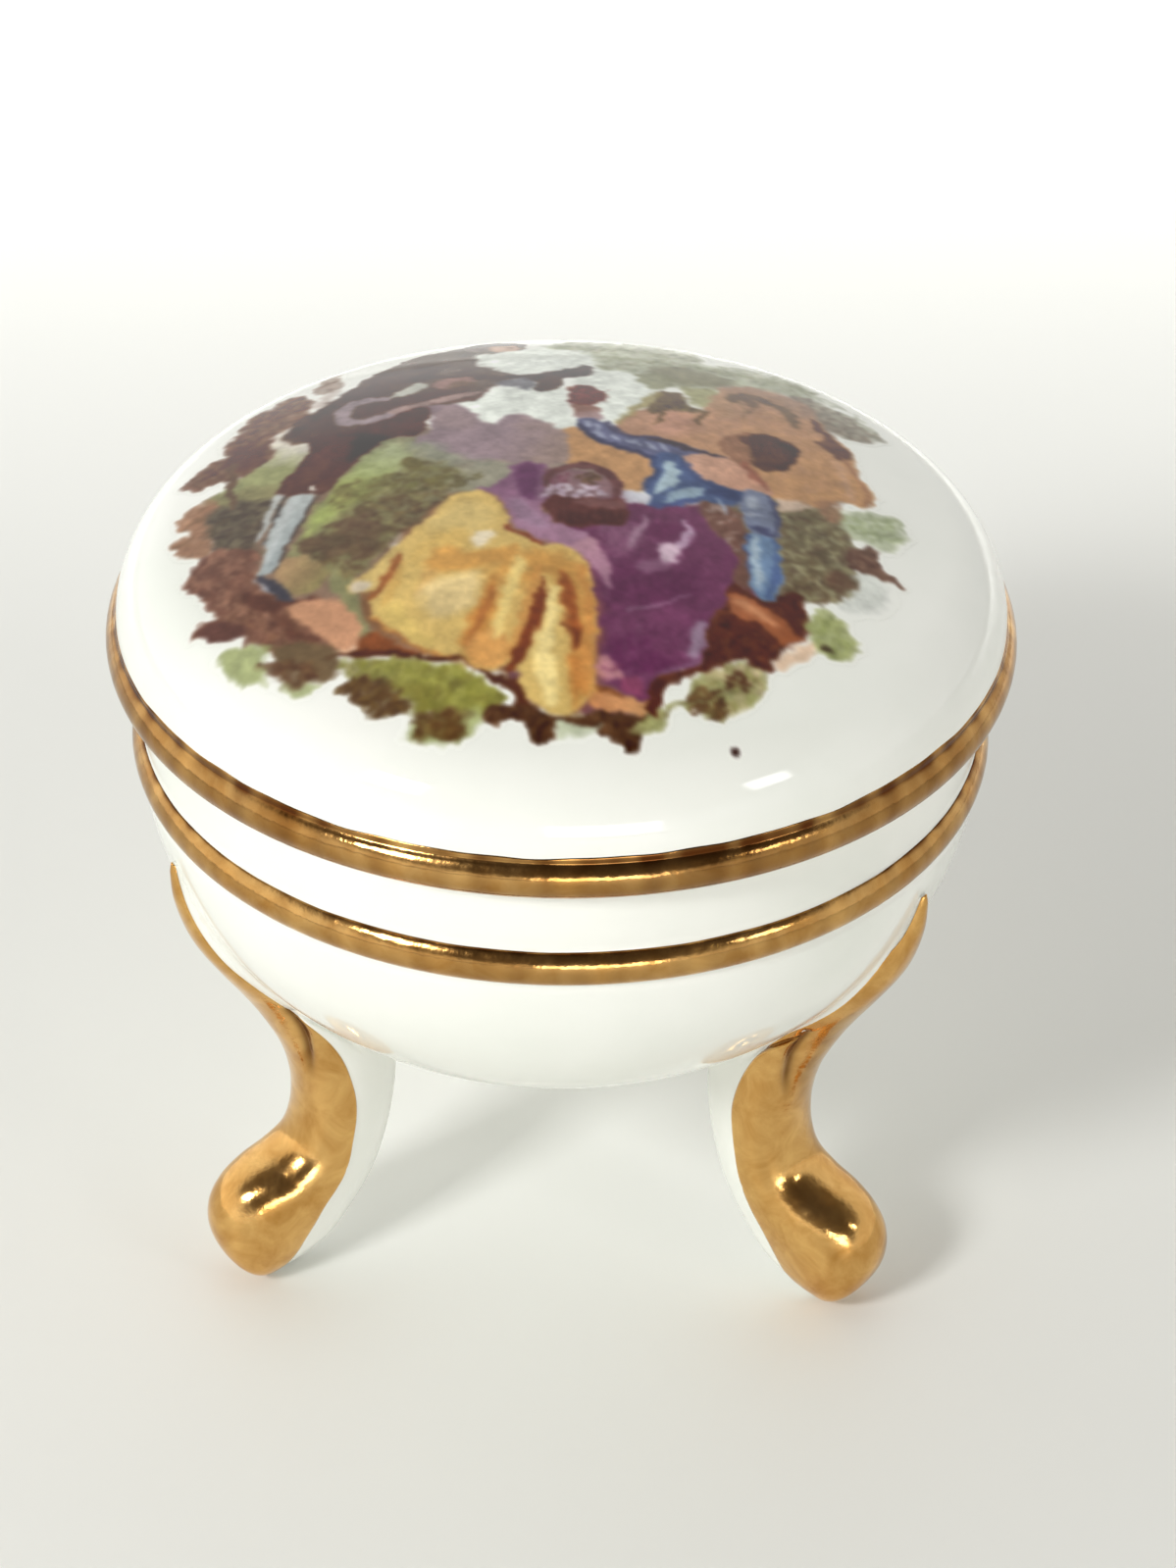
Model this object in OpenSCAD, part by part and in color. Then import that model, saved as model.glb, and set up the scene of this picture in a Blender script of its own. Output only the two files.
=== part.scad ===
// Round porcelain trinket box: a bowl on three cabriole legs with a loose domed lid.
// Millimetres, +Z up. The origin is on the table, on the axis of the bowl.

/* [Lid] */
// Outer radius of the gilt bead around the lid, the widest part of the box
lid_r = 25; // [24:0.1:27]
// Height of the middle of the lid's bead above the table
lid_bead_z = 40; // [39:0.1:44]
// Radius of the dome where it meets the bead
dome_foot_r = 24.4; // [24.2:0.05:24.5]
// Rise of the dome above its foot
dome_rise = 8.3; // [7:0.1:10]
// Radius of the rounded shoulder at the dome's edge
shoulder_r = 5; // [4:0.5:6]
// Thickness of the dome
lid_wall = 1.8; // [1.5:0.1:2.2]
// Depth of the locating flange below the lid
flange_depth = 2.3; // [1.5:0.1:3]
// Thickness of the locating flange
flange_wall = 1.2; // [1:0.1:1.6]
// Running clearance between the flange and the collar
flange_gap = 0.35; // [0.2:0.05:0.5]

/* [Bowl] */
// Outer radius of the plain collar above the bowl's bead
collar_r = 23.3; // [22.8:0.1:23.4]
// Height of the middle of the bowl's bead above the table
bowl_bead_z = 33.6; // [32.5:0.1:34]
// How far the bowl's bead stands out from the collar
bowl_bead_out = 0.6; // [0.5:0.05:0.7]
// Outer radius of the bowl below its bead
bowl_r = 23.5; // [23.3:0.1:23.6]
// Height at which the wall starts to curve in
bowl_turn_z = 33.4; // [33:0.1:34]
// Radius of the curve of the bowl's side
bowl_curve_r = 16; // [15:0.5:18]
// Thickness of the bowl's wall
bowl_wall = 1.9; // [1.6:0.1:2.2]
// Gap left between the collar's rim and the lid's seat
seat_gap = 0.02; // [0.01:0.01:0.05]

/* [Beads and gold] */
// Radius of both rounded beads, gold included
bead_r = 1.3; // [1.1:0.05:1.4]
// Thickness of the gold
gold_t = 0.1; // [0.08:0.02:0.2]
// How far the gold runs past the crease onto the dome
gold_lip = 0.5; // [0.2:0.1:0.8]

/* [Legs] */
// Angle of the front left leg around the axis
left_leg_angle = 207; // [200:1:215]
// How much narrower a leg is behind than in front, 0 for an even oval
leg_taper = 0.3; // [0:0.05:0.4]
// Points around each leg
leg_sides = 20; // [12:2:28]
// Sections between one row of the leg's table and the next
leg_steps = 2; // [1:1:3]

/* [Picture] */
// Thickness of the enamel of the picture
enamel_t = 0.08; // [0.05:0.01:0.15]

/* [Hidden] */
$fn = 96;
clay_r = bead_r - gold_t;
sink = 0.05;
// How far neighbouring stretches of a section run into each other
lap = 0.5;
// The lid's section
lid_bead_x = lid_r - bead_r;
foot_z = lid_bead_z + sqrt(pow(bead_r, 2) - pow(dome_foot_r - lid_bead_x, 2));
lid_under_z = lid_bead_z - bead_r;
dome_top_z = foot_z + dome_rise;
shoulder_x = dome_foot_r - shoulder_r;
dome_r = (pow(shoulder_x, 2) + pow(dome_rise, 2) - pow(shoulder_r, 2)) / (2 * (dome_rise - shoulder_r));
dome_z = dome_top_z - dome_r;
dome_edge_x = shoulder_x * dome_r / (dome_r - shoulder_r);
flange_out_r = collar_r - bowl_wall - flange_gap;
hollow_r = flange_out_r - flange_wall;
corner_r = 3;
corner_x = hollow_r - corner_r;
corner_z = dome_z + sqrt(pow(dome_r - lid_wall - corner_r, 2) - pow(corner_x, 2));
corner_edge_x = corner_x * (dome_r - lid_wall) / (dome_r - lid_wall - corner_r);
// The bowl's section
rim_z = lid_under_z - seat_gap;
bowl_curve_x = bowl_r - bowl_curve_r;
bowl_base_z = bowl_turn_z - bowl_curve_r;
bowl_bead_x = collar_r + bowl_bead_out - bead_r;
// The leg, from its point on the bowl down to its toe. Each row is a section: radius and height
// of the crest in front, radius and height of the edge behind, half width, gilt half angle.
LEG = [
    [23.60, 30.8, 22.5, 30.4, 0.20, 50],
    [23.40, 28.2, 21.6, 27.4, 0.85, 60],
    [22.55, 25.6, 19.8, 24.4, 1.40, 68],
    [21.20, 23.2, 17.2, 21.6, 1.80, 72],
    [19.80, 20.8, 13.6, 19.2, 2.10, 72],
    [18.50, 18.4, 11.6, 18.0, 2.35, 75],
    [17.50, 16.2, 10.8, 15.6, 2.45, 82],
    [16.95, 14.2, 10.6, 12.8, 2.50, 88],
    [16.75, 12.4, 10.8, 10.6, 2.50, 90],
    [16.90, 10.6, 11.2, 8.6, 2.50, 92],
    [17.50, 9.1, 11.8, 6.6, 2.55, 95],
    [18.80, 8.2, 12.6, 4.8, 2.60, 96],
    [20.20, 7.6, 13.6, 3.2, 2.65, 96],
    [21.35, 6.8, 14.8, 1.6, 2.60, 96],
    [22.10, 5.6, 16.2, 0.4, 2.50, 96],
    [22.30, 4.2, 17.4, -0.5, 2.25, 94],
    [22.00, 2.8, 18.2, -0.9, 1.90, 90],
    [21.30, 1.7, 19.0, -0.9, 1.30, 86],
    [20.50, 0.9, 19.8, -0.4, 0.50, 80],
];
// The ragged outline of the picture, seen from above
SCENE = [
    [-18.0, 8.4], [-18.8, 5.6], [-20.6, 4.0], [-19.4, 3.0], [-18.4, 2.6], [-19.2, 1.2],
    [-20.4, -0.6], [-20.2, -3.6], [-19.4, -4.6], [-19.8, -6.4], [-18.6, -8.6], [-17.8, -10.8],
    [-16.6, -11.4], [-16.4, -12.8], [-14.6, -13.8], [-14.0, -15.2], [-11.6, -15.6], [-10.4, -17.6],
    [-8.2, -18.2], [-7.2, -19.4], [-5.4, -19.8], [-4.0, -18.8], [-2.0, -19.4], [-0.6, -20.6],
    [0.8, -19.4], [3.4, -20.4], [4.4, -19.0], [7.4, -18.6], [9.4, -17.0], [10.6, -15.6],
    [12.4, -14.4], [12.8, -12.4], [14.6, -13.2], [15.0, -11.0], [13.6, -9.8], [16.0, -7.8],
    [17.6, -6.6], [17.0, -4.6], [18.4, -3.0], [18.2, -0.4], [16.4, 0.4], [16.8, 2.2],
    [16.0, 4.8], [17.6, 9.2], [16.2, 12.2], [13.8, 15.0], [10.6, 17.4], [7.0, 19.2],
    [3.2, 20.2], [-0.4, 19.8], [-2.2, 18.6], [-3.4, 20.2], [-6.4, 19.2], [-9.6, 17.2],
    [-12.6, 15.8], [-14.6, 13.2], [-17.2, 11.0],
];

// A row between two rows of the table, on a smooth curve through all of them
function blend(a, b, c, d, t) =
    0.5 * (2 * b + (c - a) * t + (2 * a - 5 * b + 4 * c - d) * t * t
           + (3 * b - a - 3 * c + d) * t * t * t);
function row_at(i, t) =
    let (n = len(LEG) - 1)
    blend(LEG[max(i - 1, 0)], LEG[i], LEG[min(i + 1, n)], LEG[min(i + 2, n)], t);
function leg_rows() =
    [for (i = [0 : len(LEG) - 2]) for (k = [0 : leg_steps - 1]) row_at(i, k / leg_steps),
     LEG[len(LEG) - 1]];

// A point of one section: a is 0 at the crest and 180 at the edge behind, grow moves it outwards
function leg_point(row, a, grow = 0) =
    let (back = [row[2] - row[0], row[3] - row[1]],
         dir = back / norm(back),
         along = norm(back) * (1 - cos(a)) / 2 - grow * cos(a),
         side = row[4] * sin(a) * (1 + leg_taper * cos(a)) + grow * sin(a))
    [row[0] + dir[0] * along, side, row[1] + dir[1] * along];
function leg_ring(row) = [for (k = [0 : leg_sides - 1]) leg_point(row, 360 * k / leg_sides)];
function gilt_ring(row) =
    let (m = leg_sides / 2)
    concat([for (k = [-m : m]) leg_point(row, row[5] * k / m, gold_t)],
           [for (k = [-m : m]) leg_point(row, -row[5] * k / m, -sink)]);

// A closed skin through a list of rings with the same number of points
module skin(rings) {
    n = len(rings[0]);
    last = (len(rings) - 1) * n;
    polyhedron(
        points = [for (ring = rings) each ring],
        faces = concat(
            [for (i = [0 : len(rings) - 2]) for (k = [0 : n - 1]) each
                let (a = i * n + k, b = i * n + (k + 1) % n)
                [[a, b, b + n], [a, b + n, a + n]]],
            [for (k = [1 : n - 2]) [0, k + 1, k]],
            [for (k = [1 : n - 2]) [last, last + k, last + k + 1]]));
}

// A leg, ground flat where it stands
module leg_body(angle) {
    rotate([0, 0, angle]) difference() {
        skin([for (row = leg_rows()) leg_ring(row)]);
        translate([0, -5, -2]) cube([30, 10, 2]);
    }
}

module leg_gold(angle) {
    rotate([0, 0, angle]) skin([for (row = leg_rows()) gilt_ring(row)]);
}

// The box between two corners, for half sections
module block(x0, z0, x1, z1) {
    translate([x0, z0]) square([x1 - x0, z1 - z0]);
}

module bowl_section() {
    intersection() {
        translate([bowl_curve_x, bowl_turn_z]) circle(bowl_curve_r);
        block(bowl_curve_x - lap, bowl_base_z - 1, bowl_r + 1, bowl_turn_z);
    }
    block(0, bowl_base_z, bowl_curve_x, bowl_turn_z);
    block(0, bowl_turn_z - lap, collar_r, rim_z);
    translate([bowl_bead_x, bowl_bead_z]) circle(clay_r);
}

module bowl_hollow_section() {
    intersection() {
        translate([bowl_curve_x, bowl_turn_z]) circle(bowl_curve_r - bowl_wall);
        block(bowl_curve_x - lap, bowl_base_z, collar_r - bowl_wall, bowl_turn_z);
    }
    block(0, bowl_base_z + bowl_wall, bowl_curve_x, bowl_turn_z);
    block(0, bowl_turn_z - lap, collar_r - bowl_wall, rim_z + 1);
}

module lid_section() {
    intersection() {
        translate([0, dome_z]) circle(dome_r);
        block(0, foot_z - lap, dome_edge_x, dome_top_z + 1);
    }
    intersection() {
        translate([shoulder_x, foot_z]) circle(shoulder_r);
        block(shoulder_x, foot_z - lap, dome_foot_r, dome_top_z);
    }
    block(0, lid_bead_z, dome_foot_r, foot_z);
    block(0, lid_under_z, lid_bead_x, lid_bead_z + lap);
    translate([lid_bead_x, lid_bead_z]) circle(clay_r);
    block(0, lid_under_z - flange_depth, flange_out_r, lid_under_z + lap);
}

module lid_hollow_section() {
    intersection() {
        translate([0, dome_z]) circle(dome_r - lid_wall);
        block(0, corner_z - lap, corner_edge_x, dome_top_z);
    }
    intersection() {
        translate([corner_x, corner_z]) circle(corner_r);
        block(corner_x, corner_z - lap, hollow_r, dome_top_z);
    }
    block(0, lid_under_z - flange_depth - 1, hollow_r, corner_z);
}

module bowl() {
    color("white") rotate_extrude() difference() {
        bowl_section();
        bowl_hollow_section();
    }
}

module leg_left() { color("white") leg_body(left_leg_angle); }
module leg_right() { color("white") leg_body(left_leg_angle + 120); }
module leg_back() { color("white") leg_body(left_leg_angle + 240); }
module leg_left_gilding() { color("goldenrod") leg_gold(left_leg_angle); }
module leg_right_gilding() { color("goldenrod") leg_gold(left_leg_angle + 120); }
module leg_back_gilding() { color("goldenrod") leg_gold(left_leg_angle + 240); }

module bowl_gilt_band() {
    color("goldenrod") rotate_extrude() difference() {
        translate([bowl_bead_x, bowl_bead_z]) circle(bead_r);
        bowl_section();
    }
}

module lid() {
    color("white") rotate_extrude() difference() {
        lid_section();
        lid_hollow_section();
    }
}

module lid_gilt_rim() {
    color("goldenrod") rotate_extrude() difference() {
        union() {
            intersection() {
                translate([lid_bead_x, lid_bead_z]) circle(bead_r);
                block(lid_bead_x, lid_under_z, lid_r + 1, foot_z);
            }
            intersection() {
                translate([shoulder_x, foot_z]) circle(shoulder_r + gold_t);
                block(dome_foot_r - 1, foot_z - gold_t, dome_foot_r + 1, foot_z + gold_lip);
            }
        }
        lid_section();
    }
}

module lid_transfer_scene() {
    color("indianred") intersection() {
        difference() {
            translate([0, 0, dome_z]) sphere(dome_r + enamel_t);
            translate([0, 0, dome_z]) sphere(dome_r);
        }
        translate([0, 0, foot_z]) linear_extrude(dome_rise + 1) polygon(SCENE);
    }
}

bowl();
leg_left();
leg_right();
leg_back();
bowl_gilt_band();
leg_left_gilding();
leg_right_gilding();
leg_back_gilding();
lid();
lid_gilt_rim();
lid_transfer_scene();
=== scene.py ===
"""A round porcelain trinket box on three gilt cabriole legs, with a pastoral picture on its domed lid.

Sizes are in millimetres until a mesh is made, and metres in the scene.
"""

import math

import bmesh
import bpy
import numpy as np
from mathutils import Matrix, Vector
from mathutils.bvhtree import BVHTree


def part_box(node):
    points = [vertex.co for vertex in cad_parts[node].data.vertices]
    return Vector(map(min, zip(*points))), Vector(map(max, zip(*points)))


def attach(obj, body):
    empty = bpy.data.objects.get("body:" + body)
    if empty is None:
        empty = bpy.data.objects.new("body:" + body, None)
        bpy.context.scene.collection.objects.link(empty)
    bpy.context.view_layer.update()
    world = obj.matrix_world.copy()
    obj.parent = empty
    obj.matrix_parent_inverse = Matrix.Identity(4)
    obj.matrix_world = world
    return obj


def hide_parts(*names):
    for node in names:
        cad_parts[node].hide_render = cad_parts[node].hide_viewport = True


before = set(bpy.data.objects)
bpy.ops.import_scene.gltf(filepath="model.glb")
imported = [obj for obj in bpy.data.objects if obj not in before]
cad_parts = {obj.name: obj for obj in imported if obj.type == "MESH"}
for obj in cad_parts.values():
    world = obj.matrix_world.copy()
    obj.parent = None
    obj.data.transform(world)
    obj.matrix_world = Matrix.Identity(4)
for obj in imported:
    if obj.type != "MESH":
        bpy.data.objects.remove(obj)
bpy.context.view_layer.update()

MM = 0.001


def cad_box(node):
    """The lowest and highest corner of a CAD node, in millimetres."""
    return [np.array(corner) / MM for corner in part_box(node)]


# ---------------------------------------------------------------- sizes

RIM_LOW, RIM_HIGH = cad_box("lid_gilt_rim")
BAND_LOW, BAND_HIGH = cad_box("bowl_gilt_band")
LID_LOW, LID_HIGH = cad_box("lid")
BOWL_LOW, BOWL_HIGH = cad_box("bowl")

# The beads of lid and bowl: their radius, the gold on them, and how deep the gold's inner side is sunk
BEAD_R = 1.3
GOLD_T = 0.1
GOLD_SUNK = 0.08
CLAY_R = BEAD_R - GOLD_T

# The lid: a dome with a rounded shoulder, standing on a bead
LID_R = RIM_HIGH[0]
LID_UNDER_Z = RIM_LOW[2]
LID_BEAD_X = LID_R - BEAD_R
LID_BEAD_Z = LID_UNDER_Z + BEAD_R
DOME_TOP_Z = LID_HIGH[2]
DOME_FOOT_R = 24.4
SHOULDER_R = 5.0
LID_WALL = 1.8
FOOT_Z = LID_BEAD_Z + math.sqrt(BEAD_R**2 - (DOME_FOOT_R - LID_BEAD_X) ** 2)
SHOULDER_X = DOME_FOOT_R - SHOULDER_R
DOME_RISE = DOME_TOP_Z - FOOT_Z
DOME_R = (SHOULDER_X**2 + DOME_RISE**2 - SHOULDER_R**2) / (2 * (DOME_RISE - SHOULDER_R))
DOME_Z = DOME_TOP_Z - DOME_R
DOME_EDGE = math.asin(SHOULDER_X / (DOME_R - SHOULDER_R))
FLANGE_OUT_R = 21.05
FLANGE_LOW_Z = LID_LOW[2]
FLANGE_ROUND = 0.3
HOLLOW_R = 19.85
CORNER_R = 3.0
LID_SIDES = 384
LID_RIM_SIDES = 768

# The bowl: a plain collar, a half-round bead and a round side
COLLAR_R = 23.3
COLLAR_WALL = 1.9
BOWL_RIM_Z = BOWL_HIGH[2]
BOWL_BEAD_X = BAND_HIGH[0] - BEAD_R
BOWL_BEAD_Z = 33.6
BOWL_R = 23.5
BOWL_TURN_Z = 33.4
BOWL_CURVE_R = 16.0
BOWL_CURVE_X = BOWL_R - BOWL_CURVE_R
BOWL_BASE_Z = BOWL_LOW[2]
BOWL_RIM_ROUND = 0.45
BOWL_SIDES = 384
BAND_SIDES = 512

# The legs: radius and height of the crest in front, radius and height of the edge behind,
# half width, and the angle from the crest to the border of the gilding
LEG = np.array(
    [
        (23.60, 30.8, 22.5, 30.4, 0.20, 50),
        (23.40, 28.2, 21.6, 27.4, 0.85, 60),
        (22.55, 25.6, 19.8, 24.4, 1.40, 68),
        (21.20, 23.2, 17.2, 21.6, 1.80, 72),
        (19.80, 20.8, 13.6, 19.2, 2.10, 72),
        (18.50, 18.4, 11.6, 18.0, 2.35, 75),
        (17.50, 16.2, 10.8, 15.6, 2.45, 82),
        (16.95, 14.2, 10.6, 12.8, 2.50, 88),
        (16.75, 12.4, 10.8, 10.6, 2.50, 90),
        (16.90, 10.6, 11.2, 8.6, 2.50, 92),
        (17.50, 9.1, 11.8, 6.6, 2.55, 95),
        (18.80, 8.2, 12.6, 4.8, 2.60, 96),
        (20.20, 7.6, 13.6, 3.2, 2.65, 96),
        (21.35, 6.8, 14.8, 1.6, 2.60, 96),
        (22.10, 5.6, 16.2, 0.4, 2.50, 96),
        (22.30, 4.2, 17.4, -0.5, 2.25, 94),
        (22.00, 2.8, 18.2, -0.9, 1.90, 90),
        (21.30, 1.7, 19.0, -0.9, 1.30, 86),
        (20.50, 0.9, 19.8, -0.4, 0.50, 80),
    ]
)
LEG_TAPER = 0.3
LEG_ANGLES = {"leg_left": 207, "leg_right": 327, "leg_back": 87}
LEG_FILLET = 2.2
LEG_STEPS = 20
LEG_SIDES = 160

# The knee: its height, how far its side faces stand out, how deep its creases are, the angle from the
# crest to the crease at the knee's height, the degrees that the crease turns for each millimetre
# below that, and where and how steeply the lip over a side face falls away towards the back
KNEE_TOP = 20.8
KNEE_LIP = 0.26
KNEE_GROOVE = 0.22
CREASE_ANGLE = 70
CREASE_TURN = 6.2
LIP_ANGLE = 62
LIP_FALL = 0.13

# The toe: it is drawn in towards its middle below this height, by this much on the ground
SOLE_ROUND = 2.2
SOLE_MIDDLE = (19.2, 0)
SOLE_DRAW = 1.3


# ---------------------------------------------------------------- shared arithmetic


def step(value):
    """A smooth step from 0 to 1."""
    t = np.clip(value, 0, 1)
    return t * t * (3 - 2 * t)


def spline(a, b, c, d, t):
    """The point at share t between b and c on a smooth curve through a, b, c and d."""
    return 0.5 * (2 * b + (c - a) * t + (2 * a - 5 * b + 4 * c - d) * t**2 + (3 * b - a - 3 * c + d) * t**3)


def around(count):
    """Angles evenly around a circle, in radians."""
    return np.arange(count) * (2 * math.pi / count)


def noise_1d(count, waves, seed):
    """A smooth closed wobble of about unit height, with a few whole waves around the circle."""
    rng = np.random.default_rng(seed)
    angle = around(count)
    total = np.zeros(count)
    for wave in waves:
        total += rng.normal() * np.sin(wave * angle + rng.uniform(0, 2 * math.pi)) / math.sqrt(len(waves))
    return total


# ---------------------------------------------------------------- meshes


def arc(x, z, radius, start, end, count):
    """Points of an arc around (x, z). Angles are in degrees from the +x side towards +z."""
    angle = np.radians(np.linspace(start, end, count))
    return np.stack([x + radius * np.cos(angle), z + radius * np.sin(angle)], -1)


def line(start, end, count):
    """Points along a straight stretch, without its two ends."""
    t = np.linspace(0, 1, count + 2)[1:-1, None]
    return np.array(start) * (1 - t) + np.array(end) * t


def grid_faces(rows, columns, wrap_rows=False, wrap_columns=False):
    """The quads of a grid of points, numbered row by row."""
    r = np.arange(rows if wrap_rows else rows - 1)
    c = np.arange(columns if wrap_columns else columns - 1)
    r, c = np.meshgrid(r, c, indexing="ij")
    r, c = r.ravel(), c.ravel()
    r1, c1 = (r + 1) % rows, (c + 1) % columns
    return np.stack([r * columns + c, r * columns + c1, r1 * columns + c1, r1 * columns + c], -1)


def revolve(sections):
    """Points and faces of a turned solid: sections[k] is its closed outline at the k-th angle."""
    count, points = sections.shape[:2]
    angle = around(count)[:, None]
    radius, height = sections[..., 0], sections[..., 1]
    place = np.stack([radius * np.cos(angle), radius * np.sin(angle), height], -1)
    return place.reshape(-1, 3), grid_faces(count, points, True, True)


def place_piece(name, mesh, material, body, node):
    """Put a mesh in the scene as a piece that rides on a body and stands for a CAD node."""
    mesh.materials.append(material)
    piece = bpy.data.objects.new(name, mesh)
    bpy.context.scene.collection.objects.link(piece)
    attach(piece, body)
    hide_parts(node)
    return piece


def make_piece(name, points, faces, material, body, node, weld=True):
    """A smooth mesh piece from points in millimetres. Without weld the points keep their order."""
    mesh = bpy.data.meshes.new(name)
    mesh.from_pydata((np.asarray(points) * MM).tolist(), [], np.asarray(faces).tolist())
    bm = bmesh.new()
    bm.from_mesh(mesh)
    if weld:
        bmesh.ops.remove_doubles(bm, verts=bm.verts, dist=1e-7)
        bmesh.ops.recalc_face_normals(bm, faces=bm.faces)
    for face in bm.faces:
        face.smooth = True
    bm.to_mesh(mesh)
    bm.free()
    return place_piece(name, mesh, material, body, node)


# ---------------------------------------------------------------- materials


def to_linear(value):
    """Light from the usual display values, both from 0 to 1."""
    return np.where(value <= 0.04045, value / 12.92, ((value + 0.055) / 1.055) ** 2.4)


def srgb(red, green, blue):
    """A linear colour from the usual 0 to 255 numbers."""
    return to_linear(np.array([red, green, blue], float) / 255)


class Shader:
    """A node material with one Principled BSDF, and short ways to add noise to it."""

    def __init__(self, name, **sockets):
        self.material = bpy.data.materials.new(name)
        self.material.use_nodes = True
        self.nodes = self.material.node_tree.nodes
        self.links = self.material.node_tree.links
        self.bsdf = self.nodes["Principled BSDF"]
        self.coordinates = self.nodes.new("ShaderNodeTexCoord").outputs["Object"]
        for socket, value in sockets.items():
            self.bsdf.inputs[socket.replace("_", " ")].default_value = value

    def noise(self, scale, detail=3.0, roughness=0.5, distortion=0.0):
        """A socket with noise of about that many waves to the metre."""
        node = self.nodes.new("ShaderNodeTexNoise")
        node.inputs["Scale"].default_value = scale
        node.inputs["Detail"].default_value = detail
        node.inputs["Roughness"].default_value = roughness
        node.inputs["Distortion"].default_value = distortion
        self.links.new(self.coordinates, node.inputs["Vector"])
        return node.outputs["Fac"]

    def ramp(self, factor, low, high, start, end):
        """A socket with factor, spread from start..end to low..high."""
        node = self.nodes.new("ShaderNodeMapRange")
        node.inputs["From Min"].default_value = start
        node.inputs["From Max"].default_value = end
        node.inputs["To Min"].default_value = low
        node.inputs["To Max"].default_value = high
        self.links.new(factor, node.inputs["Value"])
        return node.outputs["Result"]

    def mix(self, factor, a, b):
        """A mix of two colours or colour sockets by a factor socket."""
        node = self.nodes.new("ShaderNodeMix")
        node.data_type = "RGBA"
        inputs = {socket.identifier: socket for socket in node.inputs}
        for value, socket in ((a, inputs["A_Color"]), (b, inputs["B_Color"])):
            if isinstance(value, bpy.types.NodeSocket):
                self.links.new(value, socket)
            else:
                socket.default_value = (*value.tolist(), 1.0)
        self.links.new(factor, inputs["Factor_Float"])
        return next(socket for socket in node.outputs if socket.identifier == "Result_Color")

    def attribute(self, name):
        """The outputs of a colour that is stored in the mesh."""
        node = self.nodes.new("ShaderNodeAttribute")
        node.attribute_name = name
        return node.outputs

    def set(self, socket, output):
        """Link a socket of the material to an output."""
        self.links.new(output, self.bsdf.inputs[socket])

    def bump(self, height, distance):
        """Ripples of that height in metres."""
        node = self.nodes.new("ShaderNodeBump")
        node.inputs["Distance"].default_value = distance
        self.links.new(height, node.inputs["Height"])
        self.links.new(node.outputs["Normal"], self.bsdf.inputs["Normal"])


# Display colours, from 0 to 255
GLAZE = (240, 241, 234)
GLAZE_SHADE = (230, 233, 224)
GOLD_BRIGHT = (228, 182, 112)
GOLD_THIN = (192, 140, 72)
# The dark brown of the painted shade in the gold's creases
GOLD_CREASE_SHADE = (92, 50, 20)
PAPER = (237, 238, 233)
PAPER_SHADE = (233, 234, 229)

# Heights of the ripples in glaze and gold, in metres
GLAZE_RIPPLE = 0.00004
GOLD_RIPPLE = 0.00003


def glaze_shader(name):
    """Clear glaze over white porcelain: glossy and a little uneven."""
    shader = Shader(name, Roughness=0.08, IOR=1.5)
    shader.bump(shader.noise(160, 2.0), GLAZE_RIPPLE)
    return shader


def glaze_colour(shader):
    """The glaze's white, with faint greener clouds."""
    cloud = shader.ramp(shader.noise(70, 4.0), 0, 1, 0.35, 0.7)
    return shader.mix(cloud, srgb(*GLAZE), srgb(*GLAZE_SHADE))


def make_glaze():
    """The bare glaze, for bowl, legs and lid."""
    shader = glaze_shader("white_glaze")
    shader.set("Base Color", glaze_colour(shader))
    return shader.material


def make_gold():
    """Bright gold brushed on by hand: browner where it is thin, with painted shade where it lies in a
    crease.
    """
    shader = Shader("bright_gold", Metallic=1.0, IOR=1.5)
    thin = shader.ramp(shader.noise(420, 5.0, 0.6, 0.6), 0, 1, 0.35, 0.72)
    colour = shader.mix(thin, srgb(*GOLD_BRIGHT), srgb(*GOLD_THIN))
    # How much painted shade darkens the gold, stored in the mesh
    dark = shader.attribute("crease")["Fac"]
    shader.set("Base Color", shader.mix(dark, colour, srgb(*GOLD_CREASE_SHADE)))
    shader.set("Roughness", shader.ramp(shader.noise(900, 4.0, 0.6), 0.10, 0.22, 0.3, 0.7))
    shader.bump(shader.noise(1300, 3.0), GOLD_RIPPLE)
    return shader.material


def make_paint():
    """Glossy enamel colours, painted in the mesh. Where its alpha is low, the glaze shows."""
    shader = glaze_shader("transfer_enamel")
    shader.bsdf.inputs["Specular IOR Level"].default_value = 0.22
    paint = shader.attribute("paint")
    bare = glaze_colour(shader)
    shader.set("Base Color", shader.mix(paint["Alpha"], bare, paint["Color"]))
    return shader.material


WHITE_GLAZE = make_glaze()
GOLD = make_gold()
PAINT = make_paint()


# ---------------------------------------------------------------- legs


def smooth_rows(rows, steps):
    """Rows on a smooth curve through all the rows of a table."""
    padded = np.vstack([rows[:1], rows, rows[-1:]])
    result = []
    for i in range(len(rows) - 1):
        a, b, c, d = padded[i : i + 4]
        for t in np.arange(steps) / steps:
            result.append(spline(a, b, c, d, t))
    result.append(rows[-1])
    return np.array(result)


def leg_sections(rows, angles):
    """The bare leg's skin on its own axes (out, across, up), at each row and each angle from the crest."""
    crest, edge = rows[:, None, 0:2], rows[:, None, 2:4]
    back = edge - crest
    depth = np.linalg.norm(back, axis=-1, keepdims=True)
    direction = back / depth
    along = depth[..., 0] * (1 - np.cos(angles)) / 2
    side = rows[:, None, 4] * np.sin(angles) * (1 + LEG_TAPER * np.cos(angles))
    place = crest + direction * along[..., None]
    return np.stack([place[..., 0], side, place[..., 1]], -1)


def bowl_distance(points):
    """How far a point is outside the bowl's side."""
    radius = np.hypot(points[..., 0], points[..., 1])
    height = points[..., 2]
    round_part = np.hypot(np.maximum(radius - BOWL_CURVE_X, 0), height - BOWL_TURN_Z) - BOWL_CURVE_R
    return np.where(height > BOWL_TURN_Z, radius - BOWL_R, round_part)


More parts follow.
